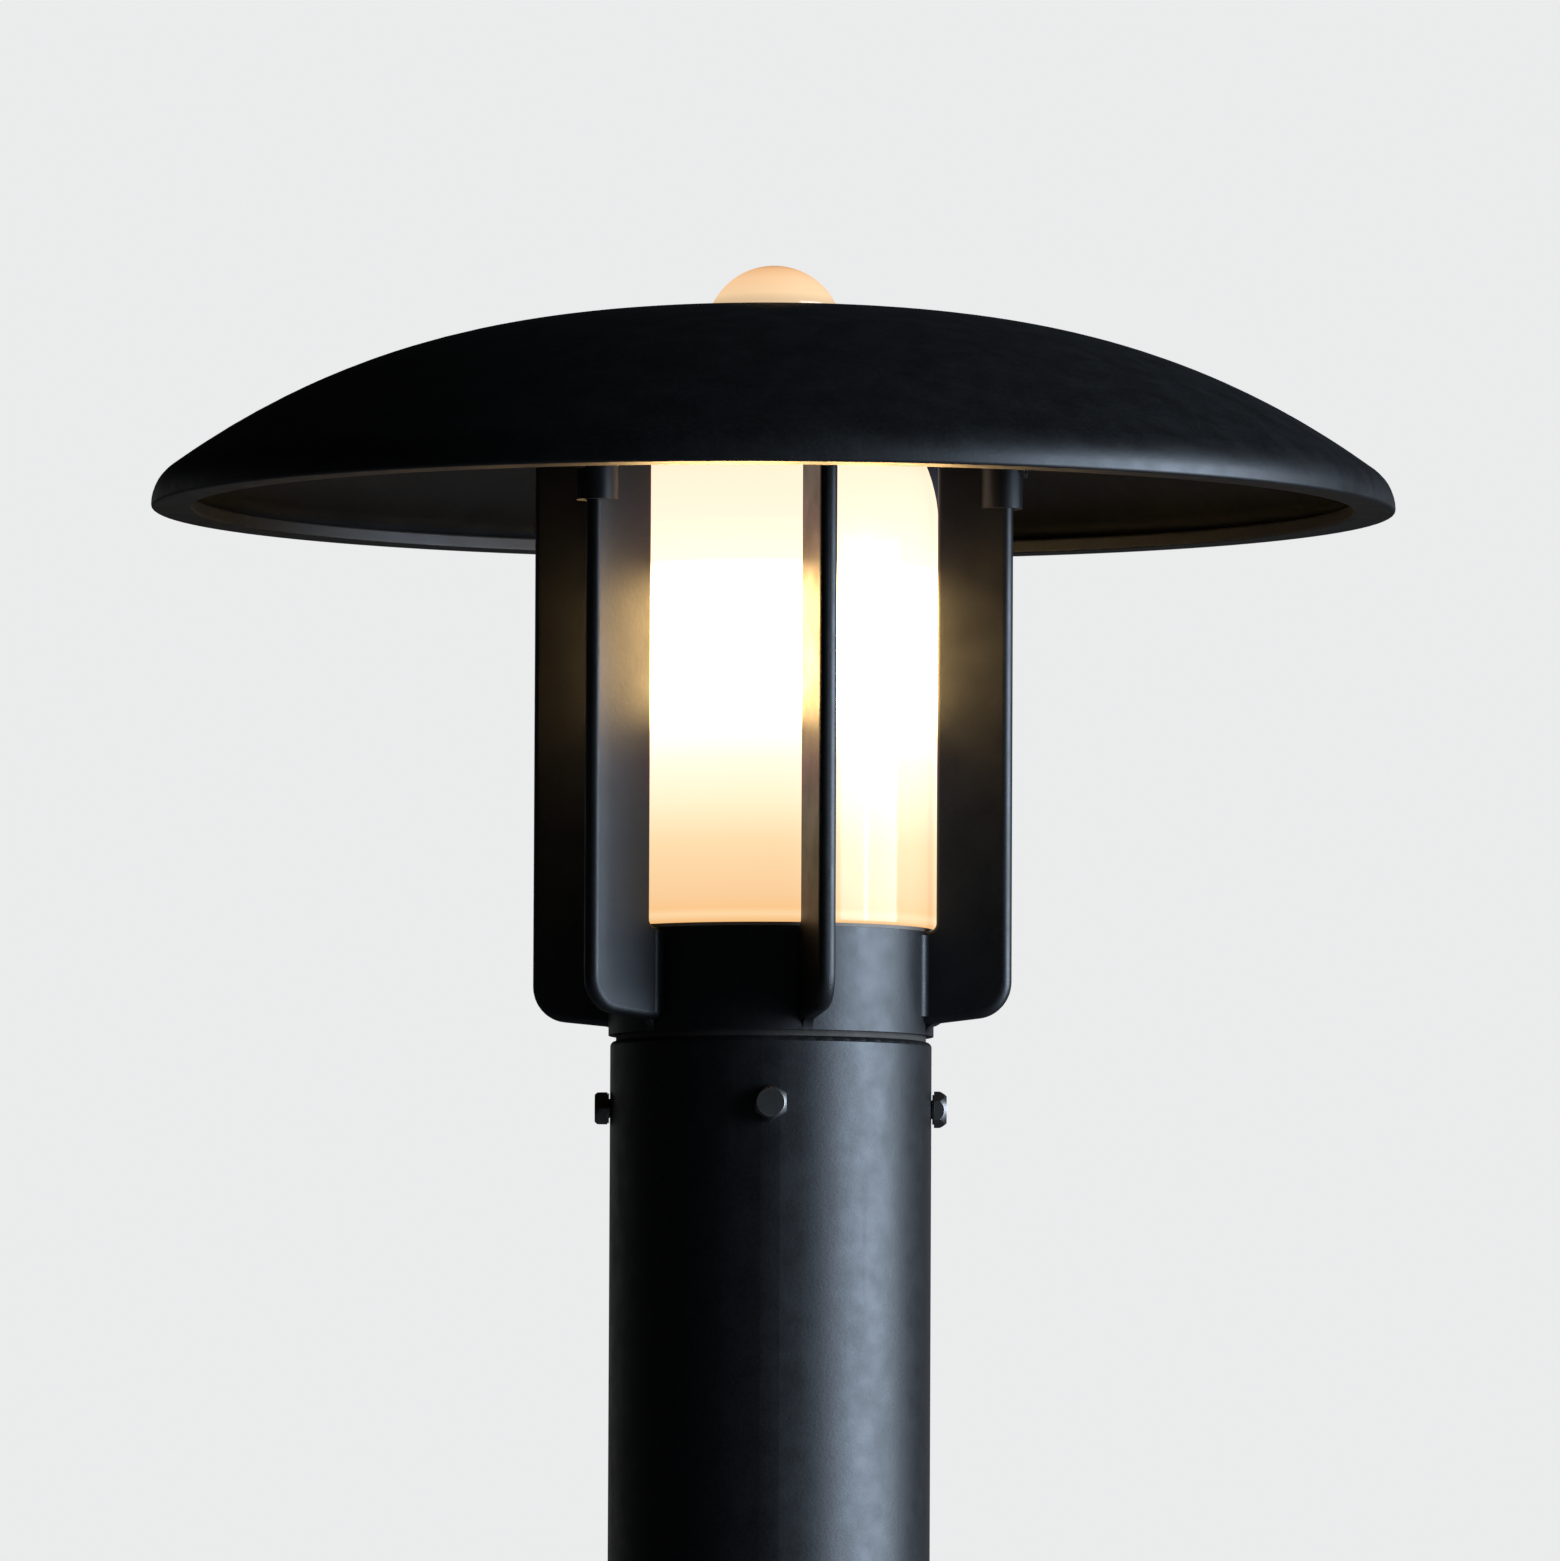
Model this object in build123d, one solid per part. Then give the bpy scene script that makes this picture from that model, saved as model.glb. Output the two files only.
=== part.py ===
from build123d import *
import os
from math import asin, atan2, cos, hypot, pi, radians, sin, sqrt, tan

os.makedirs("parts", exist_ok=True)

# A garden lamp post: a round post on a flange, and a lamp head under a wide domed roof.
# Millimetres, +Z up, the origin under the middle of the post, the front of the post at -Y.

# Post
POST_HEIGHT = 1750.0
TUBE_R = 50.8
TUBE_WALL = 3.6
TUBE_TOP_ROUND = 1.6
TUBE_JOIN = 880.0

# Base
FLANGE_R = 110.0
FLANGE_THICK = 10.0
FLANGE_BEVEL = 1.5
ANCHOR_CIRCLE_R = 86.0
ANCHOR_HOLE_R = 7.0
ANCHOR_COUNT = 4
CABLE_HOLE_R = 30.0
WELD_LEG = 6.0
COVER_R = 126.0
COVER_SKIRT = 16.0
COVER_HEIGHT = 72.0
COVER_COLLAR = 22.0
COVER_WALL = 2.5
COVER_BEND = 9.0
COVER_GAP = 0.6

# Access door
DOOR_LOW = 360.0
DOOR_OPENING_HEIGHT = 210.0
DOOR_OPENING_WIDTH = 56.0
DOOR_CORNER_R = 12.0
DOOR_LAP = 15.0
DOOR_SIDE_LAP = 7.5
DOOR_THICK = 2.5
SEAL_THICK = 1.0
DOOR_SCREW_R = 2.5
DOOR_SCREW_HEAD_R = 4.8
DOOR_SCREW_HEAD = 2.6
DOOR_SCREW_LENGTH = 11.0
DOOR_SCREW_SOCKET = 4.0
DOOR_SCREW_SOCKET_DEPTH = 1.8
DOOR_SCREW_ROUND = 1.5

# Connection box
BOX_WIDTH = 52.0
BOX_DEPTH = 36.0
BOX_HEIGHT = 150.0
BOX_WALL = 2.5
BOX_BACK = 35.0
BOX_LIFT = 26.0
BOX_CORNER_R = 3.0
LID_DEPTH = 11.0
LID_LIP = 4.0
LID_WINDOW_GAP = 1.5
RAIL_WIDTH = 24.0
RAIL_WALL = 2.0
RAIL_HEIGHT = 190.0
GLAND_R = 9.5
GLAND_BORE_R = 5.0
GLAND_LENGTH = 16.0
GLAND_PITCH = 23.0
GLAND_WALL = 1.25
GLAND_BEVEL = 2.0
FUSE_R = 6.5
FUSE_LENGTH = 22.0
FUSE_BASE_R = 14.0
FUSE_BASE_DEPTH = 14.0
FUSE_FLOOR = 4.6
FUSE_CAP_R = 10.5
FUSE_CAP_PROUD = 5.0
FUSE_CAP_ROUND = 1.5
FUSE_CAP_SLOT = 2.0
FUSE_CAP_SLOT_DEPTH = 1.5
FUSE_LIFT = 108.0
TERMINAL_COUNT = 5
TERMINAL_PITCH = 9.0
TERMINAL_HEIGHT = 18.0
TERMINAL_DEPTH = 15.0
TERMINAL_SCREW_R = 2.0
TERMINAL_LIFT = 40.0
TERMINAL_WELL = 6.0
TERMINAL_WIRE_R = 1.8
TERMINAL_SCREW_SUNK = 1.5
TERMINAL_SLOT = 0.6
TERMINAL_SLOT_DEPTH = 0.7
EARTH_STUD_R = 4.0
EARTH_STUD_LENGTH = 19.0
EARTH_NUT_FLATS = 13.0
EARTH_NUT_THICK = 5.0
EARTH_BELOW_BOX = 13.0
EARTH_NUT_FROM_WALL = 3.0
EARTH_NUT_APART = 1.6

# Clamp screws round the top of the tube
CLAMP_BELOW_TOP = 21.1
CLAMP_COUNT = 4
CLAMP_R = 3.0
CLAMP_FACE_R = 4.7
CLAMP_FACE_THICK = 0.5
CLAMP_FLATS = 10.0
CLAMP_HEAD = 4.0
CLAMP_CROWN_R = 6.2
CLAMP_TOP_R = 4.3
CLAMP_TURNS = [4.0, 20.0, 26.0, 0.0]
TIP_GAP = 0.15

# Neck and spigot of the head casting
SPIGOT_GAP = 0.4
SPIGOT_WALL = 5.5
SPIGOT_LENGTH = 60.0
NECK_R = 51.4
NECK_HEIGHT = 34.4
NECK_BORE_R = 43.8
JOINT_GAP = 1.9
NECK_SEAL_INSET = 2.4
LEDGE_HEIGHT = 19.0
BOSS_R = 4.6
BOSS_CIRCLE_R = 37.6
BOSS_DEPTH = 9.0
SPIGOT_BEVEL = 2.0
SPIGOT_SEAT = 8.0
PLATE_SCREW_R = 2.0
PLATE_SCREW_COUNT = 3
PLATE_SCREW_REACH = 8.0
PLATE_SCREW_HEAD_R = 3.8
PLATE_SCREW_HEAD = 2.4
PLATE_SCREW_ROUND = 1.4
PLATE_SCREW_SLOT = 0.8
PLATE_SCREW_SLOT_DEPTH = 1.2

# Fins
FIN_COUNT = 6
FIN_FIRST_ANGLE = -17.0
FIN_R = 78.9
FIN_INNER_R = 55.1
FIN_THICK = 5.6
FIN_DRAFT_ANGLE = 2.0
FIN_LOW = 5.1
FIN_FOOT_ANGLE = 6.0
FIN_CORNER_R = 11.6
FIN_EDGE_R = 2.5
FIN_INNER_EDGE_R = 1.2
FIN_INNER_HEEL_R = 2.6
FIN_ROOT_R = 1.7
FIN_ROOT_HOLLOW = 0.3
SEAT_GAP = 0.3

# Glass
GLASS_R = 52.4
GLASS_WALL = 4.0
GLASS_SPRING = 163.0
GASKET_THICK = 1.2
GASKET_INSET = 0.9
GLASS_EDGE_R = 1.0
LIP_GAP = 0.4
LIP_WALL = 3.6
LIP_HEIGHT = 4.0

# Roof
ROOF_R = 197.0
ROOF_APEX = 231.4
ROOF_SAG = 55.3
ROOF_POWER = 2.72
ROOF_WALL = 3.2
NOSE_R = 14.0
RIM_CORNER_R = 1.0
RIM_WIDTH = 13.0
RIM_THICK = 4.5
RIM_EDGE_R = 0.8
HUB_R = 38.0
HUB_THICK = 6.2
LEG_COUNT = 3
LEG_CENTRE_R = 75.4
LEG_R = 6.6
LEG_LOW = 167.7
LEG_SLOT_GAP = 0.3
LEG_SCREW_LIFT = 12.0
LEG_SCREW_R = 2.5
LEG_SCREW_PROUD = 1.2
LEG_SCREW_SOCKET = 2.5
LEG_SCREW_SOCKET_DEPTH = 1.5

# Lens in the middle of the roof
LENS_BALL_R = 21.8
LENS_NECK_R = 19.8
LENS_WALL = 2.4
LENS_PROUD = 15.0
LENS_FLANGE_R = 26.0
LENS_FLANGE_THICK = 2.4
LENS_SEAL_THICK = 1.2
LENS_HOLE_GAP = 0.3
LENS_RING_R = 36.0
LENS_RING_BORE_R = 15.0
LENS_RING_FLOOR = 2.6
LENS_SCREW_R = 1.5
LENS_SCREW_HEAD_R = 2.8
LENS_SCREW_HEAD = 1.6
LENS_SCREW_REACH = 7.0
LENS_SCREW_CIRCLE_R = 31.3
LENS_SCREW_COUNT = 3
LENS_SCREW_ROUND = 0.8
LENS_SCREW_BORE = 3.7
CUSHION_R = 22.0
CUSHION_BORE_R = 15.5

# Lampholder and lamp
PLATE_THICK = 1.5
PLATE_GAP = 0.3
STEM_R = 5.0
STEM_BORE_R = 3.4
STEM_BELOW = 9.0
STEM_RISE = 13.0
STEM_GRIP = 5.0
STEM_NUT_FLATS = 14.0
STEM_NUT_THICK = 3.0
HOLDER_R = 20.0
HOLDER_FOOT_R = 15.0
HOLDER_HEIGHT = 40.0
HOLDER_FLOOR = 8.0
HOLDER_BORE_R = 15.4
HOLDER_ROUND = 1.2
SHELL_WALL = 0.8
SHELL_INNER_R = 13.6
SHELL_HEIGHT = 22.0
CAP_R = 13.1
CAP_CORE_R = 12.2
CAP_HEIGHT = 22.0
CAP_THREADS = 5
CAP_PLAIN = 2.0
CAP_BEAD_R = 1.08
INSULATOR_HEIGHT = 3.0
INSULATOR_LOW_R = 5.0
INSULATOR_R = 11.0
BUTTON_R = 4.0
BUTTON_HEIGHT = 1.6
CONTACT_THICK = 1.0
CONTACT_WIDTH = 7.0
CONTACT_REACH = 11.6
BUTTON_ROUND = 1.0
BULB_R = 30.0
BULB_NECK_R = 12.8
BULB_HEIGHT = 82.0
BULB_WALL = 1.0
BULB_NECK_LENGTH = 2.0
BULB_JOIN_ANGLE = -28.0
LAMP_GAP = 0.4
BLOCK_WIDTH = 30.0
BLOCK_DEPTH = 14.0
BLOCK_HEIGHT = 13.0
BLOCK_OFFSET = 20.0
BLOCK_WAYS = 3
BLOCK_PITCH = 8.8
BLOCK_WIRE_R = 1.8
BLOCK_WIRE_DEPTH = 4.6
BLOCK_SCREW_WELL_R = 1.9
BLOCK_SCREW_WELL = 9.1

# Clearances that repeat, and how far a cut runs past the face it opens
THREAD_GAP = 0.05
RUNNING_GAP = 0.3
CUT = 1.0

# Places that follow from the sizes above
TUBE_BORE_R = TUBE_R - TUBE_WALL
SPIGOT_R = TUBE_BORE_R - SPIGOT_GAP
SPIGOT_BORE_R = SPIGOT_R - SPIGOT_WALL
NECK_LOW = POST_HEIGHT + JOINT_GAP
NECK_TOP = POST_HEIGHT + NECK_HEIGHT
SPIGOT_TOP = NECK_LOW + SPIGOT_SEAT
LEDGE = POST_HEIGHT + LEDGE_HEIGHT
GLASS_BOTTOM = NECK_TOP + GASKET_THICK
GLASS_CENTRE = POST_HEIGHT + GLASS_SPRING
LIP_R = GLASS_R - GLASS_WALL - LIP_GAP
APEX = POST_HEIGHT + ROOF_APEX
HUB_UNDERSIDE = APEX - HUB_THICK
LEG_BOTTOM = POST_HEIGHT + LEG_LOW
LEG_SCREW_HEIGHT = LEG_BOTTOM + LEG_SCREW_LIFT
CLAMP_HEIGHT = POST_HEIGHT - CLAMP_BELOW_TOP
PLATE_TOP = LEDGE + PLATE_THICK
HOLDER_BOTTOM = PLATE_TOP + STEM_RISE
HOLDER_DECK = HOLDER_BOTTOM + HOLDER_FLOOR
LAMP_BOTTOM = HOLDER_DECK + CONTACT_THICK + LAMP_GAP
CAP_BOTTOM = LAMP_BOTTOM + BUTTON_HEIGHT + INSULATOR_HEIGHT
BULB_BOTTOM = CAP_BOTTOM + CAP_HEIGHT
DOOR_MIDDLE = DOOR_LOW + DOOR_OPENING_HEIGHT / 2
DOOR_SCREW_REACH = DOOR_OPENING_HEIGHT / 2 + DOOR_LAP / 2
DOOR_BACK_R = TUBE_R + SEAL_THICK
DOOR_FACE_R = DOOR_BACK_R + DOOR_THICK
BOX_BOTTOM = DOOR_LOW + BOX_LIFT
BOX_TOP = BOX_BOTTOM + BOX_HEIGHT
BOX_FRONT = BOX_BACK - BOX_DEPTH
LID_FRONT = BOX_FRONT - LID_DEPTH
RAIL_BACK = sqrt(TUBE_BORE_R ** 2 - (RAIL_WIDTH / 2) ** 2) - SEAT_GAP
FUSE_HEIGHT = BOX_BOTTOM + FUSE_LIFT
FUSE_BASE_FRONT = BOX_BACK - BOX_WALL - FUSE_BASE_DEPTH


def rod(radius, low, high):
    return Pos(0, 0, low) * Cylinder(radius, high - low, align=(Align.CENTER, Align.CENTER, Align.MIN))


def ring(outer, inner, low, high):
    return rod(outer, low, high) - rod(inner, low - CUT, high + CUT)


def on_circle(centre, radius, angle):
    return (centre[0] + radius * cos(radians(angle)), centre[1] + radius * sin(radians(angle)))


def arc_between(centre, radius, first, last):
    places = [on_circle(centre, radius, angle) for angle in (first, (first + last) / 2, last)]
    return ThreePointArc(*places)


def turned(*curves):
    # A closed outline of radius and height, turned once round the post's axis.
    edges = [edge for curve in curves for edge in curve.edges()]
    return revolve(Plane.XZ * make_face(edges), axis=Axis.Z)


def turned_sheet(middle_line, wall):
    # Thin sheet metal, drawn as the line midway through it.
    return revolve(Plane.XZ * trace(middle_line, line_width=wall), axis=Axis.Z)


def block(x, y, z):
    # A box from its lowest and highest places along each axis.
    size = (x[1] - x[0], y[1] - y[0], z[1] - z[0])
    return Pos(x[0], y[0], z[0]) * Box(*size, align=(Align.MIN, Align.MIN, Align.MIN))


def radial_rod(radius, start, end, height):
    # A rod that points away from the axis along +X.
    return Pos(start, 0, height) * Rot(0, 90, 0) * rod(radius, 0, end - start)


def hexagon(flats, thick):
    return extrude(RegularPolygon(flats / 2, 6, major_radius=False), thick)


def around(piece, count, first=0.0):
    return [Rot(0, 0, first + 360 / count * place) * piece for place in range(count)]


def forward_rod(radius, start, end, x, z):
    # A rod along Y, from start to end.
    low, high = min(start, end), max(start, end)
    return Pos(x, high, z) * Rot(90, 0, 0) * rod(radius, 0, high - low)


def group(pieces):
    return Compound(children=[piece for item in pieces for piece in item.solids()])


def save(name, shape):
    export_step(shape, f"parts/{name}.step")


# The roof's section: its skin falls away from the apex as a power of the radius.
def roof_drop(radius):
    return ROOF_SAG * (radius / ROOF_R) ** ROOF_POWER


def roof_slope(radius):
    return ROOF_POWER * roof_drop(radius) / radius if radius > 0 else 0.0


def skin_point(radius, depth):
    # A point at the given depth under the skin, square to it.
    slope = roof_slope(radius)
    lean = hypot(1, slope)
    return (radius - depth * slope / lean, APEX - roof_drop(radius) - depth / lean)


def skin_curve(depth, start, end, steps=8):
    radii = [start + (end - start) * step / steps for step in range(steps + 1)]
    ends = [(1, -roof_slope(radius)) for radius in (start, end)]
    return Spline([skin_point(radius, depth) for radius in radii], tangents=ends)


def nose_start_radius():
    # The radius where the skin runs smoothly into the nose.
    radius = ROOF_R - NOSE_R / 2
    for _ in range(40):
        slope = roof_slope(radius)
        radius = ROOF_R - NOSE_R * (1 - slope / hypot(1, slope))
    return radius


NOSE_START = nose_start_radius()
NOSE_CENTRE_R = ROOF_R - NOSE_R
NOSE_CENTRE_Z = skin_point(NOSE_START, NOSE_R)[1]
RIM_BOTTOM = NOSE_CENTRE_Z - RIM_CORNER_R


def nose_arc(depth):
    # The rounded nose, from the skin round to its widest point.
    radius = NOSE_R - depth
    start = skin_point(NOSE_START, depth)
    lift = atan2(start[1] - NOSE_CENTRE_Z, start[0] - NOSE_CENTRE_R) / 2
    middle = (NOSE_CENTRE_R + radius * cos(lift), NOSE_CENTRE_Z + radius * sin(lift))
    return ThreePointArc(start, middle, (NOSE_CENTRE_R + radius, NOSE_CENTRE_Z))


def under_skin(depth):
    # All the room under the skin, at the given depth below it.
    top = skin_curve(depth, 0, NOSE_START)
    apex = top @ 0
    corner = top @ 1
    floor = POST_HEIGHT
    return turned(top, Polyline((corner.X, corner.Y), (corner.X, floor), (0, floor), (0, apex.Y)))


def base_flange():
    plate = rod(FLANGE_R, 0, FLANGE_THICK) - rod(CABLE_HOLE_R, -CUT, FLANGE_THICK + CUT)
    hole = Pos(ANCHOR_CIRCLE_R, 0, 0) * rod(ANCHOR_HOLE_R, -CUT, FLANGE_THICK + CUT)
    for cut in around(hole, ANCHOR_COUNT, 180 / ANCHOR_COUNT):
        plate -= cut
    rims = plate.edges().filter_by(GeomType.CIRCLE).group_by(SortBy.RADIUS)[-1]
    return chamfer(rims.sort_by(Axis.Z)[-1], FLANGE_BEVEL)


def base_weld():
    root = TUBE_R + THREAD_GAP
    low = FLANGE_THICK
    return turned(Polyline((root, low), (root + WELD_LEG, low), (root, low + WELD_LEG), (root, low)))


def base_cover():
    half = COVER_WALL / 2
    collar = TUBE_R + COVER_GAP + half
    skirt = COVER_R - half
    shoulder = (COVER_HEIGHT - COVER_COLLAR + COVER_SKIRT) / 2
    knee = (collar + skirt) / 2 + COVER_BEND
    line = FilletPolyline(
        (skirt, 0),
        (skirt, COVER_SKIRT),
        (knee, shoulder),
        (collar, COVER_HEIGHT - COVER_COLLAR),
        (collar, COVER_HEIGHT),
        radius=COVER_BEND,
    )
    return turned_sheet(line, COVER_WALL)


def door_opening(depth):
    # The opening's outline, pushed through the front of the tube.
    outline = RectangleRounded(DOOR_OPENING_WIDTH, DOOR_OPENING_HEIGHT, DOOR_CORNER_R)
    return Pos(0, 0, DOOR_MIDDLE) * extrude(Plane.XZ * outline, depth)


def door_blank(inner, outer):
    wide = DOOR_OPENING_WIDTH + 2 * DOOR_SIDE_LAP
    tall = DOOR_OPENING_HEIGHT + 2 * DOOR_LAP
    outline = Plane.XZ * RectangleRounded(wide, tall, DOOR_CORNER_R)
    front = Pos(0, 0, DOOR_MIDDLE) * extrude(outline, outer + CUT)
    return ring(outer, inner, DOOR_LOW - 2 * DOOR_LAP, DOOR_LOW + DOOR_OPENING_HEIGHT + 2 * DOOR_LAP) & front


def door_screw_places():
    return [DOOR_MIDDLE - DOOR_SCREW_REACH, DOOR_MIDDLE + DOOR_SCREW_REACH]


def base_tube():
    # The lower length of the post, with the access opening. The two lengths are butt welded.
    tube = ring(TUBE_R, TUBE_BORE_R, FLANGE_THICK, TUBE_JOIN) - door_opening(TUBE_R + CUT)
    for height in door_screw_places():
        tube -= forward_rod(DOOR_SCREW_R + THREAD_GAP, -TUBE_BORE_R + TUBE_WALL, -TUBE_R - CUT, 0, height)
    return tube


def post_tube():
    tube = ring(TUBE_R, TUBE_BORE_R, TUBE_JOIN, POST_HEIGHT)
    top_edge = tube.edges().filter_by(GeomType.CIRCLE).sort_by(Axis.Z)[-2:].sort_by(SortBy.RADIUS)[-1]
    tube = fillet(top_edge, TUBE_TOP_ROUND)
    hole = radial_rod(CLAMP_R + THREAD_GAP, SPIGOT_BORE_R, TUBE_R + CUT, CLAMP_HEIGHT)
    for cut in around(hole, CLAMP_COUNT):
        tube -= cut
    return tube


def door_panel():
    panel = door_blank(DOOR_BACK_R, DOOR_FACE_R)
    for height in door_screw_places():
        panel -= forward_rod(DOOR_SCREW_R + THREAD_GAP, 0, -DOOR_FACE_R - CUT, 0, height)
    return panel


def door_seal():
    seal = door_blank(TUBE_R + THREAD_GAP, DOOR_BACK_R - THREAD_GAP) - door_opening(DOOR_FACE_R)
    for height in door_screw_places():
        seal -= forward_rod(DOOR_SCREW_R + THREAD_GAP, 0, -DOOR_FACE_R, 0, height)
    return seal


def door_screws():
    pieces = []
    for height in door_screw_places():
        tip = -DOOR_FACE_R + DOOR_SCREW_LENGTH
        screw = forward_rod(DOOR_SCREW_R, tip, -DOOR_FACE_R, 0, height)
        head = forward_rod(DOOR_SCREW_HEAD_R, -DOOR_FACE_R, -DOOR_FACE_R - DOOR_SCREW_HEAD, 0, height)
        head = fillet(head.edges().sort_by(Axis.Y)[0], DOOR_SCREW_ROUND)
        place = Pos(0, -DOOR_FACE_R - DOOR_SCREW_HEAD, height) * Rot(90, 0, 0)
        socket = place * hexagon(DOOR_SCREW_SOCKET, -DOOR_SCREW_SOCKET_DEPTH)
        pieces.append(screw + head - socket)
    return group(pieces)


def box_rail():
    half = RAIL_WIDTH / 2
    low = (BOX_BOTTOM + BOX_TOP - RAIL_HEIGHT) / 2
    height = (low, low + RAIL_HEIGHT)
    front = BOX_BACK + SEAT_GAP
    web = block((-half, half), (RAIL_BACK - RAIL_WALL, RAIL_BACK), height)
    sides = block((-half, -half + RAIL_WALL), (front, RAIL_BACK), height)
    sides += block((half - RAIL_WALL, half), (front, RAIL_BACK), height)
    return web + sides


def box_cavity(front, back, low, high):
    half = BOX_WIDTH / 2 - BOX_WALL
    return block((-half, half), (front, back), (low + BOX_WALL, high - BOX_WALL))


def gland_places():
    # Two feed cables come in from below, one lamp cable leaves at the top.
    return [(-GLAND_PITCH / 2, False), (GLAND_PITCH / 2, False), (0, True)]


def fuse_box():
    half = BOX_WIDTH / 2
    box = block((-half, half), (BOX_FRONT, BOX_BACK), (BOX_BOTTOM, BOX_TOP))
    box = fillet(box.edges().filter_by(Axis.Y), BOX_CORNER_R)
    box -= box_cavity(BOX_FRONT - CUT, BOX_BACK - BOX_WALL, BOX_BOTTOM, BOX_TOP)
    middle = (BOX_FRONT + BOX_BACK) / 2
    for x, top in gland_places():
        wall_low = BOX_TOP - BOX_WALL if top else BOX_BOTTOM
        span = (wall_low - CUT, wall_low + BOX_WALL + CUT)
        box -= Pos(x, middle, 0) * rod(GLAND_BORE_R + GLAND_WALL + THREAD_GAP, *span)
    return box


def box_glands():
    pieces = []
    middle = (BOX_FRONT + BOX_BACK) / 2
    for x, top in gland_places():
        body = rod(GLAND_R, SEAT_GAP, GLAND_LENGTH)
        body += rod(GLAND_BORE_R + GLAND_WALL, -BOX_WALL, SEAT_GAP + CUT)
        body = body - rod(GLAND_BORE_R, -BOX_WALL - CUT, GLAND_LENGTH + CUT)
        top_edges = body.edges().filter_by(GeomType.CIRCLE).sort_by(Axis.Z)[-2:]
        body = chamfer(top_edges.sort_by(SortBy.RADIUS)[-1], GLAND_BEVEL)
        turn = Rot(0, 0, 0) if top else Rot(180, 0, 0)
        pieces.append(Pos(x, middle, BOX_TOP if top else BOX_BOTTOM) * turn * body)
    return group(pieces)


def box_lid():
    half = BOX_WIDTH / 2
    back = BOX_FRONT - RUNNING_GAP
    lid = block((-half, half), (LID_FRONT, back), (BOX_BOTTOM, BOX_TOP))
    lid = fillet(lid.edges().filter_by(Axis.Y), BOX_CORNER_R)
    lip_half = half - BOX_WALL - RUNNING_GAP
    lip_low = BOX_BOTTOM + BOX_WALL + RUNNING_GAP
    lip_high = BOX_TOP - BOX_WALL - RUNNING_GAP
    lid += block((-lip_half, lip_half), (back - CUT, back + LID_LIP), (lip_low, lip_high))
    inner = lip_half - BOX_WALL
    depth = (LID_FRONT + BOX_WALL, back + LID_LIP + CUT)
    lid -= block((-inner, inner), depth, (lip_low + BOX_WALL, lip_high - BOX_WALL))
    window = FUSE_CAP_R + LID_WINDOW_GAP
    front = (LID_FRONT - CUT, LID_FRONT + BOX_WALL + CUT)
    return lid - block((-window, window), front, (FUSE_HEIGHT - window, FUSE_HEIGHT + window))


def fuse_base():
    back = BOX_BACK - BOX_WALL - SEAT_GAP
    base = forward_rod(FUSE_BASE_R, back, FUSE_BASE_FRONT, 0, FUSE_HEIGHT)
    return base - forward_rod(FUSE_R + RUNNING_GAP, back - FUSE_FLOOR, FUSE_BASE_FRONT - CUT, 0, FUSE_HEIGHT)


def fuse_link():
    back = BOX_BACK - BOX_WALL - SEAT_GAP - FUSE_FLOOR - SEAT_GAP
    return forward_rod(FUSE_R, back, back - FUSE_LENGTH, 0, FUSE_HEIGHT)


def fuse_cap():
    back = FUSE_BASE_FRONT - SEAT_GAP
    front = LID_FRONT - FUSE_CAP_PROUD
    cap = forward_rod(FUSE_CAP_R, back, front, 0, FUSE_HEIGHT)
    cap = fillet(cap.edges().sort_by(Axis.Y)[0], FUSE_CAP_ROUND)
    hollow_front = BOX_BACK - BOX_WALL - FUSE_FLOOR - 3 * SEAT_GAP - FUSE_LENGTH
    cap -= forward_rod(FUSE_R + RUNNING_GAP, back + CUT, hollow_front, 0, FUSE_HEIGHT)
    half = FUSE_CAP_SLOT / 2
    slot_depth = (front - CUT, front + FUSE_CAP_SLOT_DEPTH)
    slot = block((-FUSE_CAP_R, FUSE_CAP_R), slot_depth, (FUSE_HEIGHT - half, FUSE_HEIGHT + half))
    return cap - slot


def terminal_span():
    return TERMINAL_COUNT * TERMINAL_PITCH


def terminal_places():
    return [TERMINAL_PITCH * (place + 0.5) - terminal_span() / 2 for place in range(TERMINAL_COUNT)]


def terminal_back():
    return BOX_BACK - BOX_WALL - SEAT_GAP


def terminal_block():
    half = terminal_span() / 2
    back = terminal_back()
    front = back - TERMINAL_DEPTH
    low = BOX_BOTTOM + TERMINAL_LIFT
    body = block((-half, half), (front, back), (low, low + TERMINAL_HEIGHT))
    wire_y = back - TERMINAL_DEPTH / 3
    for x in terminal_places():
        well = (front - CUT, front + TERMINAL_WELL)
        body -= forward_rod(TERMINAL_SCREW_R + RUNNING_GAP, *well, x, low + TERMINAL_HEIGHT / 2)
        body -= Pos(x, wire_y, 0) * rod(TERMINAL_WIRE_R, low - CUT, low + TERMINAL_HEIGHT + CUT)
    return body


def terminal_screws():
    pieces = []
    front = terminal_back() - TERMINAL_DEPTH
    height = BOX_BOTTOM + TERMINAL_LIFT + TERMINAL_HEIGHT / 2
    half = TERMINAL_SLOT / 2
    face = front + TERMINAL_SCREW_SUNK
    tall = (height - TERMINAL_SCREW_R - CUT, height + TERMINAL_SCREW_R + CUT)
    for x in terminal_places():
        screw = forward_rod(TERMINAL_SCREW_R, front + TERMINAL_WELL - SEAT_GAP, face, x, height)
        screw -= block((x - half, x + half), (face - CUT, face + TERMINAL_SLOT_DEPTH), tall)
        pieces.append(screw)
    return group(pieces)


def earth_height():
    return BOX_BOTTOM - EARTH_BELOW_BOX


def earth_end():
    return TUBE_BORE_R - 2 * SEAT_GAP


def earth_stud():
    end = earth_end()
    return radial_rod(EARTH_STUD_R, end - EARTH_STUD_LENGTH, end, earth_height())


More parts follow.
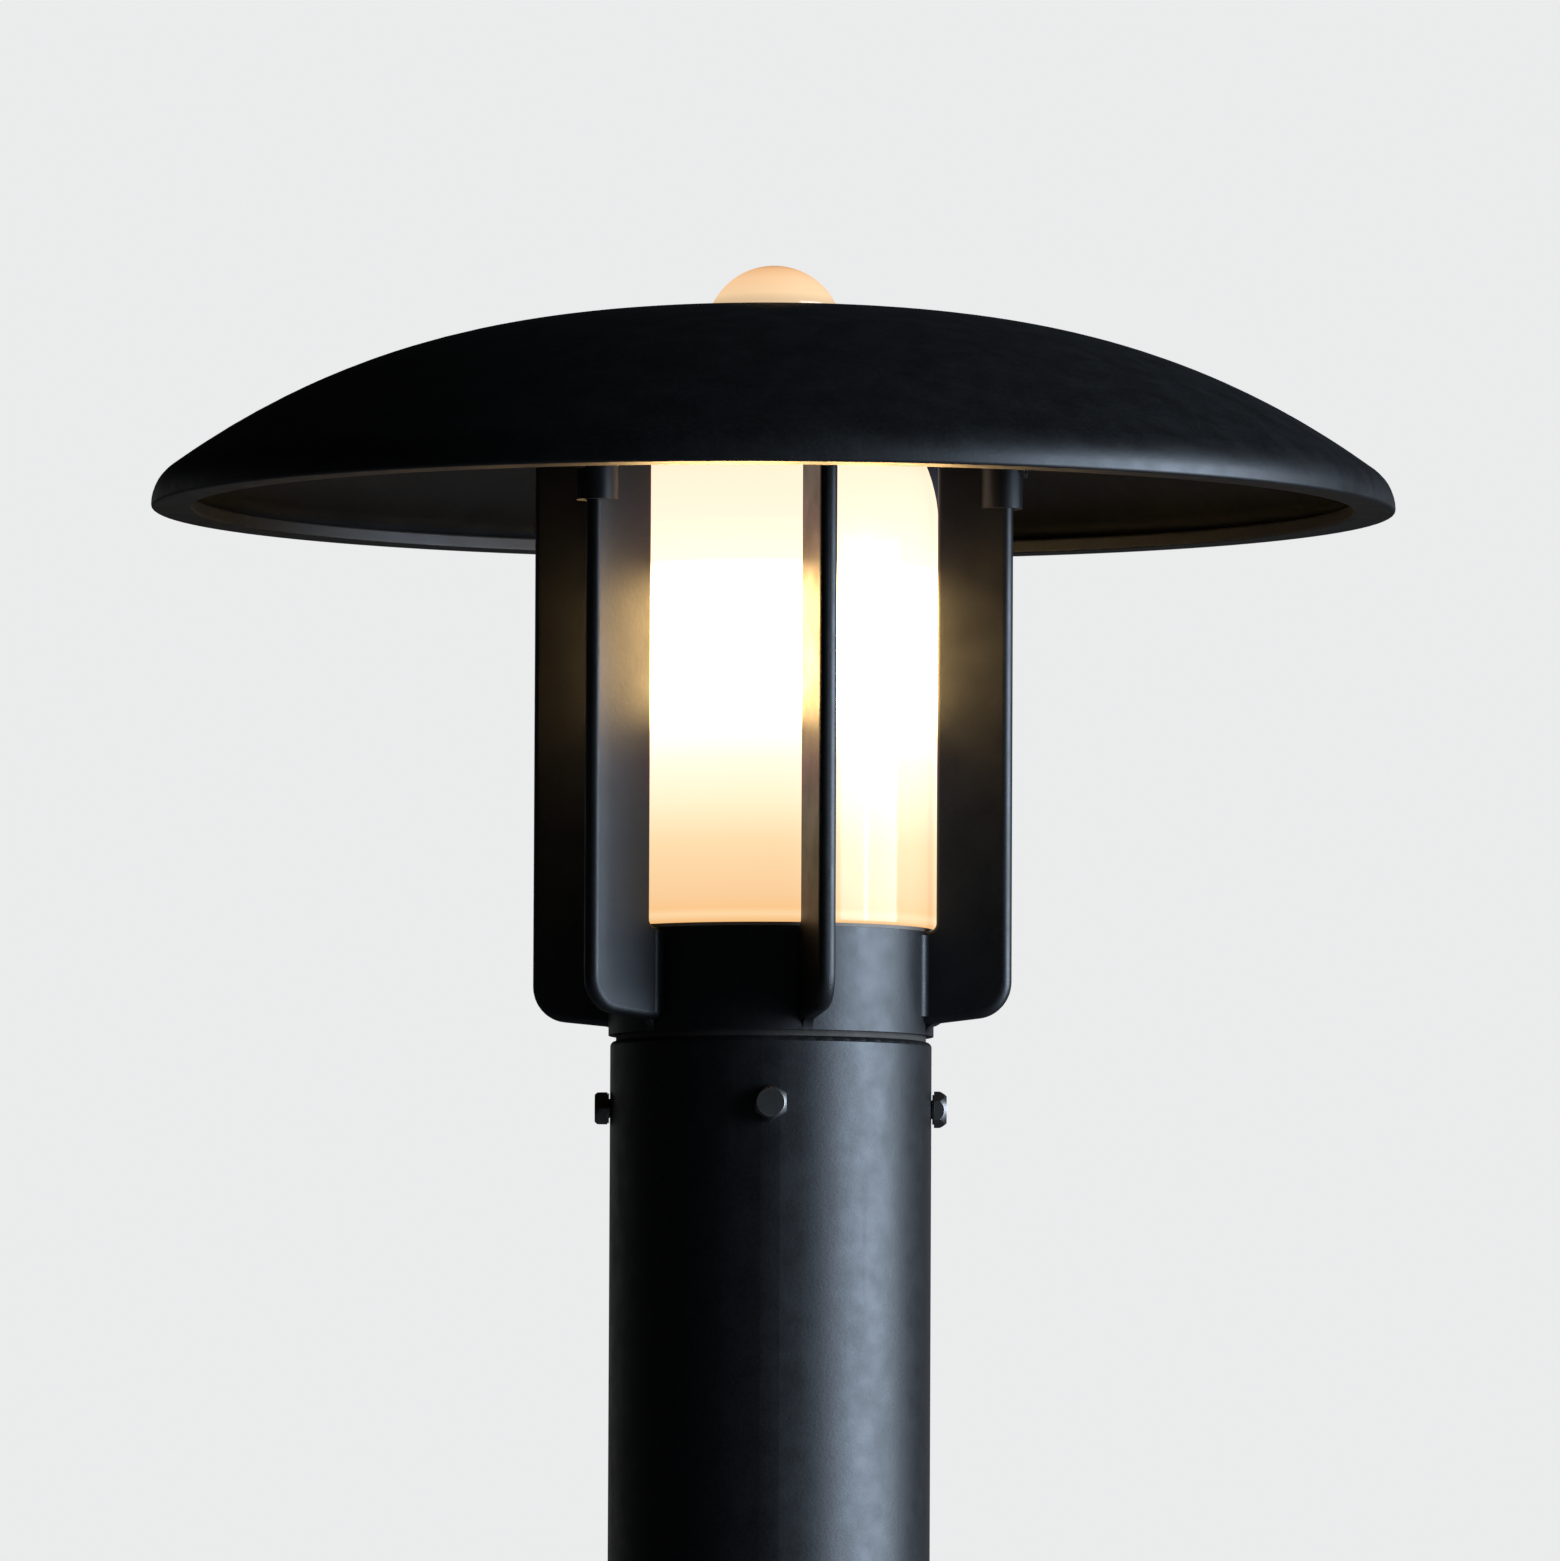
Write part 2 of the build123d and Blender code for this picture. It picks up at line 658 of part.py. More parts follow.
def earth_nuts():
    outer_end = earth_end() - EARTH_NUT_FROM_WALL
    bore = rod(EARTH_STUD_R + THREAD_GAP, -CUT, EARTH_NUT_THICK + CUT)
    nut = hexagon(EARTH_NUT_FLATS, EARTH_NUT_THICK) - bore
    lying = Rot(0, -90, 0) * nut
    step = EARTH_NUT_THICK + EARTH_NUT_APART
    return group([Pos(outer_end - step * place, 0, earth_height()) * lying for place in range(2)])


def clamp_screw(turn):
    # The screw lies along +X, its hexagon turned as it was tightened, and goes to its place later.
    face = TUBE_R + SEAT_GAP
    shank = radial_rod(CLAMP_R, SPIGOT_R + TIP_GAP, face + CUT, CLAMP_HEIGHT)
    washer_face = radial_rod(CLAMP_FACE_R, face, face + CLAMP_FACE_THICK + CUT, CLAMP_HEIGHT)
    crown_centre = CLAMP_HEAD - sqrt(CLAMP_CROWN_R ** 2 - CLAMP_TOP_R ** 2)
    head = hexagon(CLAMP_FLATS, CLAMP_HEAD) & (Pos(0, 0, crown_centre) * Sphere(CLAMP_CROWN_R))
    head = Pos(face + CLAMP_FACE_THICK, 0, CLAMP_HEIGHT) * Rot(turn, 0, 0) * Rot(0, 90, 0) * head
    return shank + washer_face + head


def neck_seal():
    span = (POST_HEIGHT + THREAD_GAP, NECK_LOW - THREAD_GAP)
    return ring(NECK_R - NECK_SEAL_INSET, SPIGOT_R + SEAT_GAP, *span)


def outline_plate(curves, thick):
    # A flat plate that stands on the post's axis plane, from its outline of radius and height.
    edges = [edge for curve in curves for edge in curve.edges()]
    return extrude(Plane.XZ * make_face(edges), thick / 2, both=True)


def fin_half(radius):
    # Half a fin's thickness, which grows inwards by the casting's draft.
    return FIN_THICK / 2 + (FIN_R - FIN_EDGE_R - radius) * tan(radians(FIN_DRAFT_ANGLE))


def fin_foot(radius):
    # The height of a fin's bottom edge, which rises away from the neck.
    return POST_HEIGHT + FIN_LOW + (radius - NECK_R) * tan(radians(FIN_FOOT_ANGLE))


def plain_fin():
    root = NECK_R - NECK_SEAL_INSET
    corner_r = FIN_R - FIN_CORNER_R
    corner = (corner_r, fin_foot(corner_r) + FIN_CORNER_R / cos(radians(FIN_FOOT_ANGLE)))
    inner = (FIN_INNER_R - FIN_INNER_HEEL_R, NECK_TOP + FIN_INNER_HEEL_R)
    corner_arc = arc_between(corner, FIN_CORNER_R, FIN_FOOT_ANGLE - 90, 0)
    inner_arc = arc_between(inner, FIN_INNER_HEEL_R, 0, -90)
    corner_start = on_circle(corner, FIN_CORNER_R, FIN_FOOT_ANGLE - 90)
    outline = [
        Line((root, fin_foot(root)), corner_start),
        corner_arc,
        Polyline((FIN_R, corner[1]), (FIN_R, APEX), (FIN_INNER_R, APEX), (FIN_INNER_R, inner[1])),
        inner_arc,
        Polyline((inner[0], NECK_TOP), (root, NECK_TOP), (root, fin_foot(root))),
    ]
    reach = FIN_R + CUT
    plan = [(0, -fin_half(0)), (reach, -fin_half(reach)), (reach, fin_half(reach)), (0, fin_half(0))]
    wedge = Pos(0, 0, POST_HEIGHT) * extrude(make_face(Polyline(*plan, close=True)), APEX - POST_HEIGHT + CUT)
    return outline_plate(outline, 2 * fin_half(0)) & wedge


def fin_heel():
    # The web that runs from the fin's bottom edge down to the foot of the neck.
    root = NECK_R - NECK_SEAL_INSET
    lap = FIN_EDGE_R / 4
    lean = radians(FIN_FOOT_ANGLE)
    radius = (fin_foot(NECK_R) - NECK_LOW) * cos(lean) / (1 - sin(lean))
    centre = (NECK_R + radius, NECK_LOW)
    end = on_circle(centre, radius, 90 + FIN_FOOT_ANGLE)
    inside = [(end[0], end[1] + lap), (root, fin_foot(root) + lap), (root, NECK_LOW)]
    heel = arc_between(centre, radius, 180, 90 + FIN_FOOT_ANGLE)
    return outline_plate([heel, Polyline(end, *inside, (NECK_R, NECK_LOW))], FIN_THICK - FIN_EDGE_R)


def fin_roots():
    # The small hollow fillets between a fin's faces and the neck, drawn in plan.
    half = fin_half(NECK_R)
    depth = FIN_ROOT_R
    corner = Vector(sqrt(NECK_R ** 2 - half ** 2), half)
    lean = asin(half / NECK_R) + FIN_ROOT_R / NECK_R
    on_fin = Vector(corner.X + FIN_ROOT_R, fin_half(corner.X + FIN_ROOT_R))
    on_neck = Vector(cos(lean), sin(lean)) * NECK_R
    chord = (on_fin + on_neck) * 0.5
    middle = chord + (corner - chord) * FIN_ROOT_HOLLOW
    inside = [on_neck * (1 - depth / NECK_R), corner - Vector(depth, depth), on_fin - Vector(0, depth)]
    curves = [ThreePointArc(on_fin, middle, on_neck), Polyline(on_neck, *inside, on_fin)]
    low = fin_foot(NECK_R) + FIN_EDGE_R
    face = make_face([edge for curve in curves for edge in curve.edges()])
    web = Pos(0, 0, low) * extrude(face, NECK_TOP - FIN_INNER_EDGE_R - low)
    return web + mirror(web, about=Plane.XZ)


def fin():
    plate = plain_fin()
    for radius, outer in ((FIN_EDGE_R, True), (FIN_INNER_EDGE_R, False)):
        faces = plate.faces().sort_by(Axis.Y)
        sides = faces[0].edges() + faces[-1].edges()
        below = [edge for edge in sides if edge.center().Z < APEX - CUT]
        picked = [edge for edge in below if (edge.center().X > FIN_INNER_R + CUT) == outer]
        if not outer:
            picked = [edge for edge in picked if edge.center().Z > NECK_TOP - CUT]
        plate = fillet(picked, radius)
    return (plate & under_skin(ROOF_WALL + SEAT_GAP)) + fin_heel() + fin_roots()


def head_spigot():
    # The tube that drops into the post, pressed into the foot of the head casting.
    low = POST_HEIGHT - SPIGOT_LENGTH
    spigot = ring(SPIGOT_R, SPIGOT_BORE_R, low, SPIGOT_TOP)
    low_edges = spigot.edges().filter_by(GeomType.CIRCLE).sort_by(Axis.Z)[:2]
    return chamfer(low_edges.sort_by(SortBy.RADIUS)[-1], SPIGOT_BEVEL)


def head_casting():
    lip_bore = LIP_R - LIP_WALL
    socket_r = SPIGOT_R + THREAD_GAP
    socket_top = SPIGOT_TOP + THREAD_GAP
    casting = turned(
        Polyline(
            (socket_r, NECK_LOW),
            (NECK_R, NECK_LOW),
            (NECK_R, NECK_TOP),
            (LIP_R, NECK_TOP),
            (LIP_R, NECK_TOP + LIP_HEIGHT),
            (lip_bore, NECK_TOP + LIP_HEIGHT),
            (NECK_BORE_R, NECK_TOP),
            (NECK_BORE_R, LEDGE),
            (SPIGOT_BORE_R, LEDGE),
            (SPIGOT_BORE_R, socket_top),
            (socket_r, socket_top),
            (socket_r, NECK_LOW),
        )
    )
    for blade in around(fin(), FIN_COUNT, FIN_FIRST_ANGLE):
        casting += blade
    boss = Pos(BOSS_CIRCLE_R, 0, 0) * rod(BOSS_R, LEDGE - BOSS_DEPTH, LEDGE)
    span = (LEDGE - BOSS_DEPTH - CUT, LEDGE + CUT)
    hole = Pos(BOSS_CIRCLE_R, 0, 0) * rod(PLATE_SCREW_R + THREAD_GAP, *span)
    for lug in around(boss, PLATE_SCREW_COUNT):
        casting += lug
    for cut in around(hole, PLATE_SCREW_COUNT):
        casting -= cut
    return casting


def mounting_plate():
    plate = rod(NECK_BORE_R - PLATE_GAP, LEDGE, PLATE_TOP)
    plate -= rod(STEM_R + PLATE_GAP, LEDGE - CUT, PLATE_TOP + CUT)
    hole = Pos(BOSS_CIRCLE_R, 0, 0) * rod(PLATE_SCREW_R + PLATE_GAP, LEDGE - CUT, PLATE_TOP + CUT)
    for cut in around(hole, PLATE_SCREW_COUNT):
        plate -= cut
    return plate


def plate_screws():
    top = PLATE_TOP + PLATE_SCREW_HEAD
    screw = rod(PLATE_SCREW_R, LEDGE - PLATE_SCREW_REACH, PLATE_TOP + CUT)
    screw += rod(PLATE_SCREW_HEAD_R, PLATE_TOP, top)
    screw = fillet(screw.edges().filter_by(GeomType.CIRCLE).sort_by(Axis.Z)[-1], PLATE_SCREW_ROUND)
    half = PLATE_SCREW_SLOT / 2
    long = (-PLATE_SCREW_HEAD_R, PLATE_SCREW_HEAD_R)
    screw -= block(long, (-half, half), (top - PLATE_SCREW_SLOT_DEPTH, top + CUT))
    return group(around(Pos(BOSS_CIRCLE_R, 0, 0) * screw, PLATE_SCREW_COUNT))


def lampholder_stem():
    return ring(STEM_R, STEM_BORE_R, LEDGE - STEM_BELOW, HOLDER_BOTTOM + STEM_GRIP)


def stem_nuts():
    nut = hexagon(STEM_NUT_FLATS, STEM_NUT_THICK) - rod(STEM_R + THREAD_GAP, -CUT, STEM_NUT_THICK + CUT)
    return group([Pos(0, 0, LEDGE - STEM_NUT_THICK) * nut, Pos(0, 0, PLATE_TOP) * nut])


def lampholder_body():
    top = HOLDER_BOTTOM + HOLDER_HEIGHT
    holder = turned(
        Polyline(
            (STEM_R + THREAD_GAP, HOLDER_BOTTOM),
            (HOLDER_FOOT_R, HOLDER_BOTTOM),
            (HOLDER_R, HOLDER_DECK),
            (HOLDER_R, top),
            (HOLDER_BORE_R, top),
            (HOLDER_BORE_R, HOLDER_DECK),
            (STEM_BORE_R, HOLDER_DECK),
            (STEM_BORE_R, HOLDER_BOTTOM + STEM_GRIP + SEAT_GAP),
            (STEM_R + THREAD_GAP, HOLDER_BOTTOM + STEM_GRIP + SEAT_GAP),
            (STEM_R + THREAD_GAP, HOLDER_BOTTOM),
        )
    )
    holder = fillet(holder.edges().filter_by(GeomType.CIRCLE).sort_by(Axis.Z)[-2:], HOLDER_ROUND)
    # A ledge inside the holder carries the threaded shell.
    ledge_inner = SHELL_INNER_R + SHELL_WALL / 4
    return holder + ring(HOLDER_BORE_R + CUT, ledge_inner, HOLDER_DECK, CAP_BOTTOM - THREAD_GAP)


def lampholder_shell():
    low = CAP_BOTTOM
    return ring(SHELL_INNER_R + SHELL_WALL, SHELL_INNER_R, low, low + SHELL_HEIGHT)


def lampholder_contact():
    half = CONTACT_WIDTH / 2
    low = HOLDER_DECK + THREAD_GAP
    return block((-CONTACT_REACH, half), (-half, half), (low, low + CONTACT_THICK))


def lamp_button():
    button = rod(BUTTON_R, LAMP_BOTTOM, LAMP_BOTTOM + BUTTON_HEIGHT)
    return fillet(button.edges().sort_by(Axis.Z)[0], BUTTON_ROUND)


def lamp_insulator():
    low = LAMP_BOTTOM + BUTTON_HEIGHT
    high = CAP_BOTTOM
    return turned(
        Polyline((0, low), (INSULATOR_LOW_R, low), (INSULATOR_R, high), (0, high), (0, low)),
    )


def lamp_cap():
    # The screw shell: a closed can with rolled thread rings.
    pitch = (CAP_HEIGHT - 2 * CAP_PLAIN) / CAP_THREADS
    cap = rod(CAP_CORE_R, CAP_BOTTOM, BULB_BOTTOM)
    for turn in range(CAP_THREADS):
        height = CAP_BOTTOM + CAP_PLAIN + pitch * (turn + 0.5)
        cap += Pos(0, 0, height) * Torus(CAP_R - CAP_BEAD_R, CAP_BEAD_R)
    return cap


def bulb_form(inset):
    top = BULB_BOTTOM + BULB_HEIGHT - inset
    ball = BULB_R - inset
    centre = BULB_BOTTOM + BULB_HEIGHT - BULB_R
    low = radians(BULB_JOIN_ANGLE)
    high = (low + pi / 2) / 2
    join = (ball * cos(low), centre + ball * sin(low))
    neck = BULB_NECK_R - inset
    start = (neck, BULB_BOTTOM + BULB_NECK_LENGTH + inset)
    flank = Spline([start, join], tangents=[(0, 1), (-sin(low), cos(low))], tangent_scalars=(1.1, 1.4))
    crown = ThreePointArc(join, (ball * cos(high), centre + ball * sin(high)), (0, top))
    foot = BULB_BOTTOM + inset
    return turned(flank, crown, Polyline((0, top), (0, foot), (neck, foot), start))


def lamp_bulb():
    return bulb_form(0) - bulb_form(BULB_WALL)


def head_terminal():
    half = BLOCK_WIDTH / 2
    top = LEDGE - SEAT_GAP
    low = top - BLOCK_HEIGHT
    front = -BLOCK_OFFSET - BLOCK_DEPTH / 2
    back = -BLOCK_OFFSET + BLOCK_DEPTH / 2
    body = block((-half, half), (front, back), (low, top))
    for way in range(BLOCK_WAYS):
        x = BLOCK_PITCH * (way - (BLOCK_WAYS - 1) / 2)
        body -= forward_rod(BLOCK_WIRE_R, front - CUT, back + CUT, x, top - BLOCK_WIRE_DEPTH)
        body -= Pos(x, -BLOCK_OFFSET, 0) * rod(BLOCK_SCREW_WELL_R, low - CUT, low + BLOCK_SCREW_WELL)
    return body


def glass_gasket():
    return ring(GLASS_R - GASKET_INSET, LIP_R + THREAD_GAP, NECK_TOP + THREAD_GAP, GLASS_BOTTOM - THREAD_GAP)


def glass_form(radius, low):
    top = GLASS_CENTRE + radius
    middle = (radius * sqrt(0.5), GLASS_CENTRE + radius * sqrt(0.5))
    dome = ThreePointArc((radius, GLASS_CENTRE), middle, (0, top))
    return turned(Polyline((0, top), (0, low), (radius, low), (radius, GLASS_CENTRE)), dome)


def opal_glass():
    shell = glass_form(GLASS_R, GLASS_BOTTOM) - glass_form(GLASS_R - GLASS_WALL, GLASS_BOTTOM - CUT)
    return fillet(shell.edges().filter_by(GeomType.CIRCLE).sort_by(Axis.Z)[:2], GLASS_EDGE_R)


def roof_shell():
    hole = LENS_NECK_R + LENS_HOLE_GAP
    skin = skin_curve(0, hole, NOSE_START)
    start = skin @ 0
    under = skin_curve(ROOF_WALL, HUB_R, NOSE_START)
    hub = under @ 0
    low_corner = (ROOF_R - RIM_CORNER_R, RIM_BOTTOM)
    groove = ROOF_R - ROOF_WALL
    shell = turned(
        skin,
        nose_arc(0),
        arc_between((low_corner[0], NOSE_CENTRE_Z), RIM_CORNER_R, 0, -90),
        Polyline(low_corner, (groove, RIM_BOTTOM), (groove, NOSE_CENTRE_Z)),
        nose_arc(ROOF_WALL),
        under,
        Polyline((hub.X, hub.Y), (hub.X, HUB_UNDERSIDE), (hole, HUB_UNDERSIDE), (start.X, start.Y)),
    )
    lip = ring(low_corner[0], ROOF_R - RIM_WIDTH, RIM_BOTTOM, RIM_BOTTOM + RIM_THICK)
    inner_edges = lip.edges().filter_by(GeomType.CIRCLE).group_by(SortBy.RADIUS)[0]
    return shell + fillet(inner_edges, RIM_EDGE_R)


def roof_leg():
    leg = Pos(LEG_CENTRE_R, 0, 0) * rod(LEG_R, LEG_BOTTOM, APEX)
    leg = leg & under_skin(ROOF_WALL / 2)
    slot_half = fin_half(LEG_CENTRE_R - LEG_R) + LEG_SLOT_GAP
    slot = block((0, FIN_R + LEG_SLOT_GAP), (-slot_half, slot_half), (LEG_BOTTOM - CUT, APEX))
    leg -= slot & under_skin(ROOF_WALL - LEG_SLOT_GAP)
    leg -= radial_rod(LEG_SCREW_R + THREAD_GAP, FIN_R, LEG_CENTRE_R + LEG_R + CUT, LEG_SCREW_HEIGHT)
    return leg


def roof():
    shell = roof_shell()
    for leg in around(roof_leg(), LEG_COUNT, FIN_FIRST_ANGLE):
        shell += leg
    bore = rod(LENS_SCREW_R + THREAD_GAP, HUB_UNDERSIDE - CUT, HUB_UNDERSIDE + LENS_SCREW_BORE)
    for cut in around(Pos(LENS_SCREW_CIRCLE_R, 0, 0) * bore, LENS_SCREW_COUNT):
        shell -= cut
    return shell


def roof_screw():
    start = FIN_R + TIP_GAP
    end = LEG_CENTRE_R + LEG_R + LEG_SCREW_PROUD
    screw = radial_rod(LEG_SCREW_R, start, end, LEG_SCREW_HEIGHT)
    socket = Pos(end - LEG_SCREW_SOCKET_DEPTH, 0, LEG_SCREW_HEIGHT) * Rot(0, 90, 0)
    return screw - socket * hexagon(LEG_SCREW_SOCKET, LEG_SCREW_SOCKET_DEPTH + CUT)


LENS_SEAL_BOTTOM = HUB_UNDERSIDE - LENS_SEAL_THICK
LENS_FLANGE_BOTTOM = LENS_SEAL_BOTTOM - LENS_FLANGE_THICK
RING_BOTTOM = LENS_FLANGE_BOTTOM - LENS_RING_FLOOR


def lens_form(inset, low):
    ball = LENS_BALL_R - inset
    neck = LENS_NECK_R - inset
    centre = APEX + LENS_PROUD - LENS_BALL_R
    rise = sqrt(ball ** 2 - neck ** 2)
    middle_angle = (asin(rise / ball) + pi / 2) / 2
    middle = (ball * cos(middle_angle), centre + ball * sin(middle_angle))
    dome = ThreePointArc((neck, centre + rise), middle, (0, centre + ball))
    return turned(Polyline((0, centre + ball), (0, low), (neck, low), (neck, centre + rise)), dome)


def roof_lens():
    lens = lens_form(0, LENS_FLANGE_BOTTOM) + rod(LENS_FLANGE_R, LENS_FLANGE_BOTTOM, LENS_SEAL_BOTTOM)
    return lens - lens_form(LENS_WALL, LENS_FLANGE_BOTTOM - CUT)


def lens_seal():
    low = LENS_SEAL_BOTTOM + THREAD_GAP
    return ring(LENS_FLANGE_R, LENS_NECK_R + LENS_HOLE_GAP, low, HUB_UNDERSIDE - THREAD_GAP)


def lens_ring():
    body = ring(LENS_RING_R, LENS_RING_BORE_R, RING_BOTTOM, HUB_UNDERSIDE)
    body -= rod(LENS_FLANGE_R + RUNNING_GAP, LENS_FLANGE_BOTTOM - THREAD_GAP, HUB_UNDERSIDE + CUT)
    span = (RING_BOTTOM - CUT, HUB_UNDERSIDE + CUT)
    hole = Pos(LENS_SCREW_CIRCLE_R, 0, 0) * rod(LENS_SCREW_R + RUNNING_GAP, *span)
    for cut in around(hole, LENS_SCREW_COUNT):
        body -= cut
    return body


def lens_screws():
    screw = rod(LENS_SCREW_R, RING_BOTTOM - CUT / 2, RING_BOTTOM + LENS_SCREW_REACH)
    head = rod(LENS_SCREW_HEAD_R, RING_BOTTOM - LENS_SCREW_HEAD, RING_BOTTOM)
    head = fillet(head.edges().sort_by(Axis.Z)[0], LENS_SCREW_ROUND)
    return group(around(Pos(LENS_SCREW_CIRCLE_R, 0, 0) * (screw + head), LENS_SCREW_COUNT))


def glass_cushion():
    # Rests on the glass dome at its bore, and is held up by the lens ring.
    touch = GLASS_CENTRE + sqrt(GLASS_R ** 2 - CUSHION_BORE_R ** 2) + SEAT_GAP
    return ring(CUSHION_R, CUSHION_BORE_R, touch, RING_BOTTOM - THREAD_GAP)


NODES = {
    "base_flange": base_flange,
    "base_weld": base_weld,
    "base_cover": base_cover,
    "base_tube": base_tube,
    "post_tube": post_tube,
    "door_panel": door_panel,
    "door_seal": door_seal,
    "door_screws": door_screws,
    "box_rail": box_rail,
    "fuse_box": fuse_box,
    "box_glands": box_glands,
    "box_lid": box_lid,
    "fuse_base": fuse_base,
    "fuse_link": fuse_link,
    "fuse_cap": fuse_cap,
    "terminal_block": terminal_block,
    "terminal_screws": terminal_screws,
    "earth_stud": earth_stud,
    "earth_nuts": earth_nuts,
    "neck_seal": neck_seal,
    "head_spigot": head_spigot,
    "head_casting": head_casting,
    "mounting_plate": mounting_plate,
    "plate_screws": plate_screws,
    "lampholder_stem": lampholder_stem,
    "stem_nuts": stem_nuts,
    "lampholder_body": lampholder_body,
    "lampholder_shell": lampholder_shell,
    "lampholder_contact": lampholder_contact,
    "lamp_button": lamp_button,
    "lamp_insulator": lamp_insulator,
    "lamp_cap": lamp_cap,
    "lamp_bulb": lamp_bulb,
    "head_terminal": head_terminal,
    "glass_gasket": glass_gasket,
    "opal_glass": opal_glass,
    "roof": roof,
    "roof_lens": roof_lens,
    "lens_seal": lens_seal,
    "lens_ring": lens_ring,
    "lens_screws": lens_screws,
    "glass_cushion": glass_cushion,
}

for name, build in NODES.items():
    save(name, build())

CLAMP_NAMES = ["right", "back", "left", "front"]
for place, name in enumerate(CLAMP_NAMES):
    save(f"clamp_screw_{name}", Rot(0, 0, 360 / CLAMP_COUNT * place) * clamp_screw(CLAMP_TURNS[place]))

ROOF_SCREW_NAMES = ["right", "back", "left"]
for name, piece in zip(ROOF_SCREW_NAMES, around(roof_screw(), LEG_COUNT, FIN_FIRST_ANGLE)):
    save(f"roof_screw_{name}", piece)
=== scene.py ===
import math

import bmesh
import bpy
from mathutils import Matrix, Vector


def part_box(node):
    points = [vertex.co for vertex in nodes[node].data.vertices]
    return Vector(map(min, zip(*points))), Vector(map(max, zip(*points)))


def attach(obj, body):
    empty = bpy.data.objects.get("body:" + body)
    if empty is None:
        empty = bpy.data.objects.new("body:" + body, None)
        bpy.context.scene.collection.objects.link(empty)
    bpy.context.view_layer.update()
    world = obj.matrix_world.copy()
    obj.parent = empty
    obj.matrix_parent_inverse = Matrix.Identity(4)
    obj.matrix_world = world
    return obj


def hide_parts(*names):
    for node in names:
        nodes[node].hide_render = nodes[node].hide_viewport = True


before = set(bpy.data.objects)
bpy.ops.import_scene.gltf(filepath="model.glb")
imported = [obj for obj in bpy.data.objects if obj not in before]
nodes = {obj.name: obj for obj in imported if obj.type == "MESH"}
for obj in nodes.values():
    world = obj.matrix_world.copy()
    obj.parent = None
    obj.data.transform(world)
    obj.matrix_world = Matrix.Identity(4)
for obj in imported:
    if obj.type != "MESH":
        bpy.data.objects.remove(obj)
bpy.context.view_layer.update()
scene = bpy.context.scene
scene.view_settings.view_transform = "Standard"

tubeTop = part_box("post_tube")[1].z  # the seam under the head
mm = 0.001


# Camera: a long lens a little below the head, looking slightly up (metres and degrees)
camera = {
    "focalPx": 15197.0,  # focal length in pixels of the 1560 wide picture
    "widthPx": 1560.0,
    "sensor": 36.0,
    "distance": 4.8,
    "belowTubeTop": 0.2125,
    "pitch": 3.5222,
    "yaw": 0.0298,
    "roll": 0.2548,
    "clip": (0.05, 60.0),
}


def makeCamera(c):
    data = bpy.data.cameras.new("camera")
    data.sensor_fit = "HORIZONTAL"
    data.sensor_width = c["sensor"]
    data.lens = c["focalPx"] / c["widthPx"] * c["sensor"]
    data.clip_start, data.clip_end = c["clip"]
    cam = bpy.data.objects.new("camera", data)
    scene.collection.objects.link(cam)
    turn = Matrix.Rotation(-math.radians(c["yaw"]), 4, "Z")
    turn = turn @ Matrix.Rotation(math.radians(90 + c["pitch"]), 4, "X")
    turn = turn @ Matrix.Rotation(math.radians(c["roll"]), 4, "Z")
    cam.matrix_world = Matrix.Translation((0.0, -c["distance"], tubeTop - c["belowTubeTop"])) @ turn
    scene.camera = cam


makeCamera(camera)
print("camera placed")


# Small helpers for shader trees
def addNode(tree, kind, **settings):
    node = tree.nodes.new(kind)
    for name, value in settings.items():
        setattr(node, name, value)
    return node


def plug(tree, socket, value):
    if isinstance(value, bpy.types.NodeSocket):
        tree.links.new(value, socket)
    elif value is not None:
        socket.default_value = value


def maths(tree, operation, first, second=None, clamp=False):
    node = addNode(tree, "ShaderNodeMath", operation=operation, use_clamp=clamp)
    plug(tree, node.inputs[0], first)
    plug(tree, node.inputs[1], second)
    return node.outputs[0]


def remap(tree, value, low, high, outLow=0.0, outHigh=1.0, smooth=False):
    node = addNode(tree, "ShaderNodeMapRange", interpolation_type="SMOOTHSTEP" if smooth else "LINEAR")
    for socket, item in zip(node.inputs, (value, low, high, outLow, outHigh)):
        plug(tree, socket, item)
    return node.outputs[0]


def blendColour(tree, share, first, second):
    node = addNode(tree, "ShaderNodeMix", data_type="RGBA")
    plug(tree, node.inputs["Factor"], share)
    plug(tree, node.inputs[6], first)  # colour A
    plug(tree, node.inputs[7], second)  # colour B
    return node.outputs[2]


def timesAll(tree, *parts, clamp=False):
    result = parts[0]
    for part in parts[1:]:
        result = maths(tree, "MULTIPLY", result, part, clamp=clamp)
    return result


def noise(tree, coords, size, detail=2.0, rough=0.5):
    # size is how far apart the lumps are, in metres
    node = addNode(tree, "ShaderNodeTexNoise")
    plug(tree, node.inputs["Vector"], coords)
    plug(tree, node.inputs["Scale"], maths(tree, "DIVIDE", 1.0, size))
    node.inputs["Detail"].default_value = detail
    node.inputs["Roughness"].default_value = rough
    return node.outputs["Fac"]


def squeezed(tree, coords, scale):
    node = addNode(tree, "ShaderNodeVectorMath", operation="MULTIPLY")
    plug(tree, node.inputs[0], coords)
    node.inputs[1].default_value = scale
    return node.outputs[0]


def rgba(colour):
    return (*colour, 1.0)


noiseMiddle = (0.3, 0.7)  # where most of a noise's values lie


